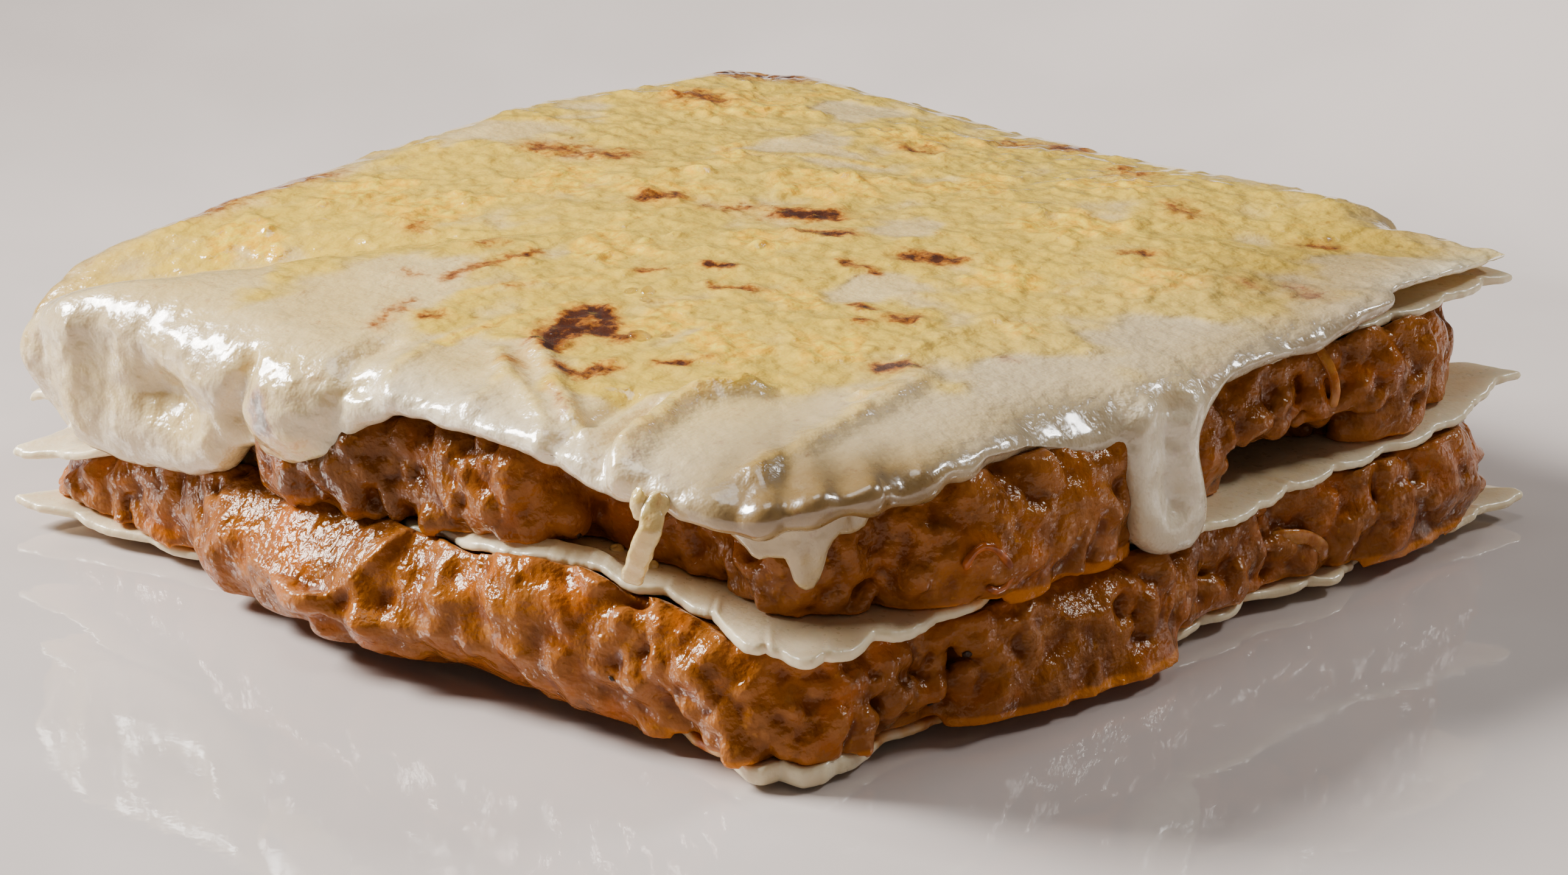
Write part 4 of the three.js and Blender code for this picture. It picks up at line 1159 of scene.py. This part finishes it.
def topping_material():
    m = Material("baked_white_sauce_and_cheese")
    fine, mid, wide = m.noise(0.8, 2), m.noise(2.2, 3, offset=0.31), m.noise(9.0, 2, offset=0.77)
    yel = m.math("ADD", m.attr("yellow"), m.math("MULTIPLY_ADD", mid, 0.7, -0.35))
    yel = m.math("ADD", yel, m.math("MULTIPLY_ADD", fine, 0.25, -0.12))
    yel = m.ramp(yel, 0.2, 1.0)
    oli = m.math("ADD", m.attr("olive"), m.math("MULTIPLY_ADD", mid, 0.6, -0.3))
    oli = m.ramp(oli, 0.1, 1.0)
    on_side = m.attr("side")
    c = m.mix(m.ramp(wide, 0.35, 0.65), rgb(238, 208, 142), rgb(228, 196, 124))
    # the hanging sides get a slightly darker, less yellow white: partly own tone, partly painted shade
    c = m.mix(on_side, c, m.mix(m.ramp(wide, 0.35, 0.65), rgb(226, 200, 144), rgb(214, 186, 124)))
    c = m.mix(m.math("MULTIPLY", oli, m.math("MULTIPLY_ADD", on_side, -0.3, 1.0)), c, rgb(232, 194, 64))
    c = m.mix(yel, c, m.mix(m.ramp(fine, 0.35, 0.7), rgb(255, 192, 20), rgb(255, 216, 62)))
    halo = m.ramp(m.math("ADD", m.attr("halo"), m.math("MULTIPLY_ADD", mid, 0.9, -0.5)), 0.05, 0.9)
    c = m.mix(m.math("MULTIPLY", halo, 0.7), c, rgb(216, 144, 22))
    speck = m.math("MULTIPLY_ADD", m.noise(0.6, 3, 0.65, offset=0.5), 0.9, -0.45)
    patch = m.math("MULTIPLY_ADD", m.noise(1.5, 3, 0.6, offset=0.5), 1.1, -0.55)
    br = m.math("ADD", m.attr("brown"), m.math("ADD", patch, speck))
    c = m.mix(m.math("MULTIPLY", m.ramp(br, 0.1, 0.6), 0.9), c, rgb(158, 84, 14))
    c = m.mix(m.math("MULTIPLY", m.ramp(br, 0.44, 0.88), 0.95), c, rgb(62, 20, 2))
    # painted shade with a warmer tint on the left-hand and back hanging sides
    c = m.mix(m.math("MULTIPLY", m.attr("warm_painted_shade"), 0.9), c, rgb(224, 212, 182), "MULTIPLY")
    # whiter sauce on the right-hand side, partly painted light on the drip and the left-hand side
    c = m.mix(m.math("MULTIPLY", m.attr("milk_and_painted_light"), 0.8), c, rgb(246, 238, 222))
    # painted shade: darker, greyer colour where the sauce hangs at the front corner and right-hand side
    c = m.mix(m.attr("painted_shade"), c, rgb(159, 145, 123), "MULTIPLY")
    m.set(Base_Color=c)
    m.set(Roughness=m.ramp(m.math("ADD", fine, m.math("MULTIPLY", m.math("MAXIMUM", yel, oli), -0.2)), 0.1, 0.7, 0.18, 0.36))
    m.set(Subsurface_Weight=0.28, Subsurface_Scale=0.0022, Specular_IOR_Level=0.95, IOR=1.42, Coat_Weight=1.0, Coat_Roughness=0.1)
    m.shader.inputs["Subsurface Radius"].default_value = (1.0, 0.75, 0.45)
    pebble = m.math("SUBTRACT", 1.0, m.cells(1.3, "SMOOTH_F1", 0.8))
    pebble = m.math("MULTIPLY", pebble, m.math("MULTIPLY_ADD", m.math("MAXIMUM", m.math("MAXIMUM", yel, oli), m.math("MULTIPLY", on_side, 0.7)), 0.8, 0.25))
    h = m.math("ADD", m.math("MULTIPLY", pebble, 1.0), m.math("MULTIPLY", m.noise(0.8, 2, 0.5, offset=0.37), 0.6))
    h = m.math("ADD", h, m.math("MULTIPLY", m.noise(0.35, 1, offset=0.11), 0.1))
    h = m.math("MULTIPLY", h, m.math("MULTIPLY_ADD", m.attr("calm"), -0.65, 1.0))
    m.set(Normal=m.bump(h, 0.42, 0.75))
    return m.mat


def pasta_material():
    m = Material("cooked_pasta")
    mid, fine = m.noise(5.0, 3), m.noise(0.7, 3, offset=0.2)
    c = m.mix(m.ramp(mid, 0.3, 0.7), rgb(232, 214, 176), rgb(218, 194, 150))
    # paler along the cut edge, and a painted highlight along the ribs
    c = m.mix(m.math("MULTIPLY", m.math("MAXIMUM", m.attr("rim"), m.attr("rib")), 0.5), c, rgb(242, 228, 196))
    stain = m.math("ADD", m.attr("stain"), m.math("MULTIPLY_ADD", m.noise(2.4, 3, offset=0.9), 0.8, -0.42))
    c = m.mix(m.math("MULTIPLY", m.ramp(stain, 0.3, 0.7), 0.7), c, rgb(226, 150, 40))
    c = m.mix(m.ramp(stain, 0.62, 0.9), c, rgb(176, 88, 10))
    m.set(Base_Color=c, Roughness=m.ramp(fine, 0.3, 0.7, 0.26, 0.42))
    m.set(Subsurface_Weight=0.35, Subsurface_Scale=0.0015, Coat_Weight=0.3, Coat_Roughness=0.12, IOR=1.42)
    m.shader.inputs["Subsurface Radius"].default_value = (1.0, 0.7, 0.4)
    h = m.math("ADD", m.math("MULTIPLY", fine, 0.3), m.math("MULTIPLY", m.noise(0.3, 2), 0.12))
    m.set(Normal=m.bump(h, 0.3, 0.7))
    return m.mat


def meat_material():
    m = Material("minced_meat_in_sauce")
    fine = m.noise(0.55, 3, offset=0.05)
    c = m.mix(m.ramp(m.noise(3.2, 2, 0.5, offset=0.4), 0.36, 0.64), rgb(118, 63, 10), rgb(150, 86, 22))
    c = m.mix(m.math("MULTIPLY", m.ramp(m.noise(5.5, 2, offset=0.6), 0.48, 0.68), 0.75), c, rgb(172, 88, 8))
    # bits of mince, soft in the sauce
    c = m.mix(m.math("MULTIPLY", m.ramp(m.noise(2.5, 3, 0.55, 0.3, offset=0.77), 0.52, 0.66), 0.55), c, rgb(144, 82, 36))
    c = m.mix(m.math("MULTIPLY", m.ramp(m.noise(1.5, 3, 0.55, 0.4, offset=0.23), 0.53, 0.67), 0.6), c, rgb(160, 100, 44))
    c = m.mix(m.math("MULTIPLY", m.ramp(m.noise(1.9, 2, 0.5, 0.4, offset=0.91), 0.57, 0.72), 0.45), c, rgb(78, 34, 1))
    c = m.mix(m.math("MULTIPLY", m.ramp(m.noise(0.8, 2, offset=0.15), 0.64, 0.76), 0.5), c, rgb(190, 122, 40))
    # painted light on the bumps and painted shade in the hollows
    c = m.mix(m.math("MULTIPLY", m.ramp(m.attr("cav"), 0.45, 0.1), 0.45), c, rgb(160, 98, 46))
    c = m.mix(m.math("MULTIPLY", m.ramp(m.attr("cav"), 0.55, 0.95), 0.75), c, rgb(98, 42, 2))
    low = m.math("ADD", m.attr("low"), m.math("MULTIPLY_ADD", m.noise(2.0, 2, offset=0.33), 0.8, -0.45))
    c = m.mix(m.math("MULTIPLY", m.ramp(low, 0.4, 0.9), 0.85), c, rgb(204, 118, 8))
    # painted shade in recesses and under the hanging topping
    c = m.mix(m.attr("deep"), c, rgb(44, 16, 0))
    m.set(Base_Color=c, Roughness=m.ramp(fine, 0.25, 0.7, 0.1, 0.24), Specular_IOR_Level=0.42, IOR=1.4)
    m.shader.inputs["Specular Tint"].default_value = (1.0, 0.84, 0.64, 1.0)
    m.set(Subsurface_Weight=0.12, Subsurface_Scale=0.0012)
    m.shader.inputs["Subsurface Radius"].default_value = (1.0, 0.5, 0.15)
    h = m.math("ADD", m.math("MULTIPLY", m.noise(1.3, 2, 0.5, offset=0.8), 1.0), m.math("MULTIPLY", fine, 0.42))
    m.set(Normal=m.bump(h, 0.46, 0.75))
    return m.mat


def skin_material():
    m = Material("skin_in_sauce")
    c = m.mix(m.ramp(m.noise(1.4, 2), 0.35, 0.65), rgb(176, 92, 22), rgb(124, 58, 10))
    m.set(Base_Color=c, Roughness=m.ramp(m.noise(0.6, 2, offset=0.4), 0.3, 0.7, 0.05, 0.16), IOR=1.45, Specular_IOR_Level=0.5)
    m.set(Subsurface_Weight=0.25, Subsurface_Scale=0.0008)
    m.shader.inputs["Subsurface Radius"].default_value = (1.0, 0.5, 0.15)
    return m.mat


def clear_fat_material():
    m = Material("clear_fat")
    c = m.mix(m.ramp(m.noise(0.9, 2), 0.35, 0.65), rgb(255, 252, 242), rgb(254, 246, 226))
    m.set(Base_Color=c, Roughness=m.ramp(m.noise(0.6, 2, offset=0.4), 0.3, 0.7, 0.02, 0.06), IOR=1.33, Transmission_Weight=1.0)
    return m.mat


def onion_material():
    m = Material("soft_onion")
    c = m.mix(m.ramp(m.noise(1.2, 3), 0.35, 0.65), rgb(196, 134, 62), rgb(168, 98, 34))
    m.set(Base_Color=c, Roughness=m.ramp(m.noise(0.5, 2, offset=0.4), 0.3, 0.7, 0.14, 0.3), IOR=1.42, Specular_IOR_Level=0.45)
    m.set(Subsurface_Weight=0.4, Subsurface_Scale=0.001)
    m.shader.inputs["Subsurface Radius"].default_value = (1.0, 0.6, 0.25)
    m.set(Normal=m.bump(m.noise(0.5, 2, offset=0.8), 0.1, 0.6))
    return m.mat


def pepper_material():
    m = Material("ground_pepper")
    c = m.mix(m.ramp(m.noise(0.2, 2), 0.35, 0.65), rgb(38, 22, 12), rgb(62, 38, 20))
    m.set(Base_Color=c, Roughness=m.ramp(m.noise(0.2, 2, offset=0.4), 0.3, 0.7, 0.3, 0.5))
    return m.mat


def glaze_material():
    m = Material("white_glaze")
    wide, fine = m.noise(26.0, 2), m.noise(5.0, 3, 0.6, offset=0.2)
    c = m.mix(m.ramp(wide, 0.35, 0.65), rgb(206, 196, 191), rgb(200, 190, 185))
    m.set(Base_Color=c, Roughness=m.ramp(m.noise(12.0, 4, 0.65, 0.6, offset=0.5), 0.4, 0.72, 0.03, 0.09))
    m.set(Specular_IOR_Level=0.5, IOR=1.5, Coat_Weight=0.0, Coat_Roughness=0.04)
    m.set(Normal=m.bump(m.math("ADD", wide, m.math("MULTIPLY", fine, 0.12)), 0.3, 0.6))
    return m.mat


def floor_material():
    m = Material("pale_floor")
    c = m.mix(m.noise(200.0, 2), rgb(214, 211, 208), rgb(208, 205, 203))
    m.set(Base_Color=c, Roughness=0.6)
    return m.mat


# ---------------------------------------------------------------- the scene
cam_data = bpy.data.cameras.new("camera")
camera = bpy.data.objects.new("camera", cam_data)
bpy.context.scene.collection.objects.link(camera)
bpy.context.scene.camera = camera
cam_data.sensor_width = 36.0
cam_data.lens = 131.28
cam_data.clip_start, cam_data.clip_end = 0.02, 20
azimuth, elevation, distance = math.radians(44.113), math.radians(18.489), 0.458
aim = (-0.0012, 0.002565, 0.013)
camera.location = (aim[0] + distance * math.cos(elevation) * math.sin(azimuth),
    aim[1] - distance * math.cos(elevation) * math.cos(azimuth), aim[2] + distance * math.sin(elevation))
camera.rotation_euler = (math.pi / 2 - elevation, 0, azimuth)


def area(name, direction, far, size, power, color=(1, 1, 1), at=(0, 0, 0.015)):
    d = np.array(direction, float)
    d /= np.linalg.norm(d)
    data = bpy.data.lights.new(name, "AREA")
    data.shape = "RECTANGLE"
    data.size, data.size_y = size
    data.energy = power
    data.color = color
    o = bpy.data.objects.new(name, data)
    bpy.context.scene.collection.objects.link(o)
    o.location = tuple(np.array(at) + d * far)
    z = d
    x = np.cross([0, 0, 1], z)
    x /= np.linalg.norm(x)
    y = np.cross(z, x)
    from_axes = [[x[0], y[0], z[0]], [x[1], y[1], z[1]], [x[2], y[2], z[2]]]
    import mathutils
    o.rotation_euler = mathutils.Matrix(from_axes).to_euler()
    return o


area("key", (-0.84, -0.36, 0.62), 0.9, (0.30, 0.26), 27.0, (1.0, 0.975, 0.945))
area("top", (-0.06, 0.03, 1.0), 1.0, (0.4, 0.4), 2.1, (1.0, 0.985, 0.97))
area("back", (0.28, 0.72, 0.62), 1.0, (0.17, 0.12), 3.6, (1.0, 0.99, 0.98))
area("sparkle", (0.36, 0.66, 0.62), 1.0, (0.045, 0.035), 0.9, (1.0, 0.99, 0.98))
world = bpy.data.worlds.new("studio")
bpy.context.scene.world = world
world.use_nodes = True
world.node_tree.nodes["Background"].inputs[0].default_value = (0.66, 0.64, 0.63, 1)
world.node_tree.nodes["Background"].inputs[1].default_value = 0.14

floor_mesh = bpy.data.meshes.new("floor")
floor_mesh.from_pydata([(-3, -3, 0), (3, -3, 0), (3, 3, 0), (-3, 3, 0)], [], [(0, 1, 2, 3)])
floor = bpy.data.objects.new("floor", floor_mesh)
bpy.context.scene.collection.objects.link(floor)
floor.data.materials.append(floor_material())


def place(piece, material, slot, *nodes):
    piece.data.materials.append(material)
    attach(piece, "root")
    if nodes:
        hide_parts(*nodes)
    return piece


place(plate(), glaze_material(), "glaze", "plate")
pasta_mat, meat_mat = pasta_material(), meat_material()
place(pasta(0, "bottom_pasta_sheet"), pasta_mat, "pasta", "pasta_sheet_bottom")
place(pasta(1, "middle_pasta_sheet"), pasta_mat, "pasta", "pasta_sheet_middle")
place(pasta(2, "top_pasta_sheet"), pasta_mat, "pasta", "pasta_sheet_top")
lower, upper = meat(0, "lower_meat_in_sauce"), meat(1, "upper_meat_in_sauce")
place(lower, meat_mat, "meat", "meat_layer_lower")
place(upper, meat_mat, "meat", "meat_layer_upper")
top_mat = topping_material()
top = topping()
place(top, top_mat, "topping", "cream_cheese_topping")

shred_path = np.array([(32.7, -44.3, 21.0), (32.65, -45.5, 19.95), (33.05, -46.1, 18.9), (32.6, -46.25, 17.7), (31.85, -46.1, 16.4), (31.1, -45.8, 15.2),
    (30.45, -45.55, 14.3)]) + (0, 0, WELL_Z)
v, q, t = join([ribbon(shred_path, 1.75, 1.1, 71, rings=70, sides=24, flare=-0.06), blob((31.5, -45.65, 20.25 + WELL_Z), (0.8, 0.6, 1.15), 5, 0.22)])
shred = make_mesh("hanging_cheese_shred", v, [q, t], {"yellow": np.full(len(v), 0.05), "olive": np.full(len(v), 0.4), "side": np.ones(len(v))})
place(shred, top_mat, "cheese", "cheese_shred")

trees = {"lower": tree_of(lower), "upper": tree_of(upper), "top": tree_of(top), "middle": tree_of(bpy.data.objects["middle_pasta_sheet"])}
B_SIDE = (0.95, -0.3, 0.1)
skin = [ribbon([(45.2, -26.9, 21.0), (45.4, -26.5, 22.1), (45.7, -25.6, 22.6), (45.9, -24.5, 22.2), (46.0, -23.4, 21.0), (45.6, -22.3, 19.7)], 0.6, 0.6, 85, 36, 12, 0.0, B_SIDE, 0.06),
    ribbon([(45.6, -22.3, 19.7), (45.5, -23.0, 18.8), (45.5, -24.0, 18.7), (45.6, -24.9, 19.2)], 0.55, 0.55, 87, 30, 12, 0.0, B_SIDE, 0.05)]
v, q, t = join(skin)
place(make_mesh("curled_skin", v, [q, t]), skin_material(), "meat")
# strips of onion that stick out of the meat
v, q, t = join([ribbon([(40.9, 17.4, 26.6), (41.9, 17.7, 25.4), (42.4, 17.9, 24.2), (42.7, 17.8, 23.0), (42.6, 17.5, 22.0)], 0.95, 0.4, 81, 30, 12, -0.2, B_SIDE, 0.05),
    ribbon([(41.6, 11.6, 12.7), (42.3, 13.4, 12.6), (42.6, 15.4, 12.0), (42.7, 16.8, 10.9), (42.2, 17.2, 9.6)], 1.1, 0.5, 83, 36, 12, 0.1, B_SIDE, 0.07),
])
place(make_mesh("onion_strips", v, [q, t]), onion_material(), "meat")
rows = [((18.4, -39.2, 20.7), (0.2, 0.28, 0.12), 0.05, 0.4), ((26.5, -43.6, 12.5), (0.16, 0.24, 0.1), 0.05, 1.0),
    ((43.7, -25.0, 13.5), (0.36, 0.27, 0.16), 0.06, 0.2), ((42.6, -27.5, 9.7), (0.22, 0.3, 0.14), 0.06, 1.4)]
rng = np.random.default_rng(SEED + 41)
for _ in range(9):
    s_p = np.array([rng.uniform(176, 335)])
    rows.append(((square(s_p)[0][0], square(s_p)[1][0], WELL_Z + rng.uniform(3, 17)), (rng.uniform(0.12, 0.3), rng.uniform(0.15, 0.3), 0.12), 0.05, 0.0))
both = [[r] for r in rows]
v, q, t = join([x for r in both for x in resting(trees["upper" if r[0][0][2] > 18 else "lower"], r, 0.5)])
place(make_mesh("pepper_specks", v, [q, t]), pepper_material(), "meat")
# dabs of white sauce squeezed out between the layers
rows = [((20.3, -36.9, 19.3), (0.75, 0.5, 0.35), 0.0, 0.3), ((24.2, -37.3, 18.9), (0.6, 0.45, 0.35), 0.05, 0.0)]
v, q, t = join(resting(trees["middle"], rows, 0.35, 14, 20))
place(make_mesh("white_dabs", v, [q, t], {"yellow": np.zeros(len(v)), "olive": np.zeros(len(v))}), top_mat, "topping")
rows = [((11.8, -26.2, 30.8), (1.0, 0.85, 0.3), 0.05, 0.2), ((4.6, -18.3, 31.0), (0.7, 0.5, 0.22), 0.03, 0.9), ((3.4, -18.9, 30.9), (0.6, 0.5, 0.22), 0.03, 0.0),
    ((6.0, -20.0, 31.0), (0.4, 0.35, 0.25), 0.04, 0.0), ((12.9, -24.6, 31.0), (0.45, 0.35, 0.25), 0.04, 0.0)]
v, q, t = join(resting(trees["top"], rows, 0.12, 14, 20))
place(make_mesh("drops_of_clear_fat", v, [q, t]), clear_fat_material(), "topping")
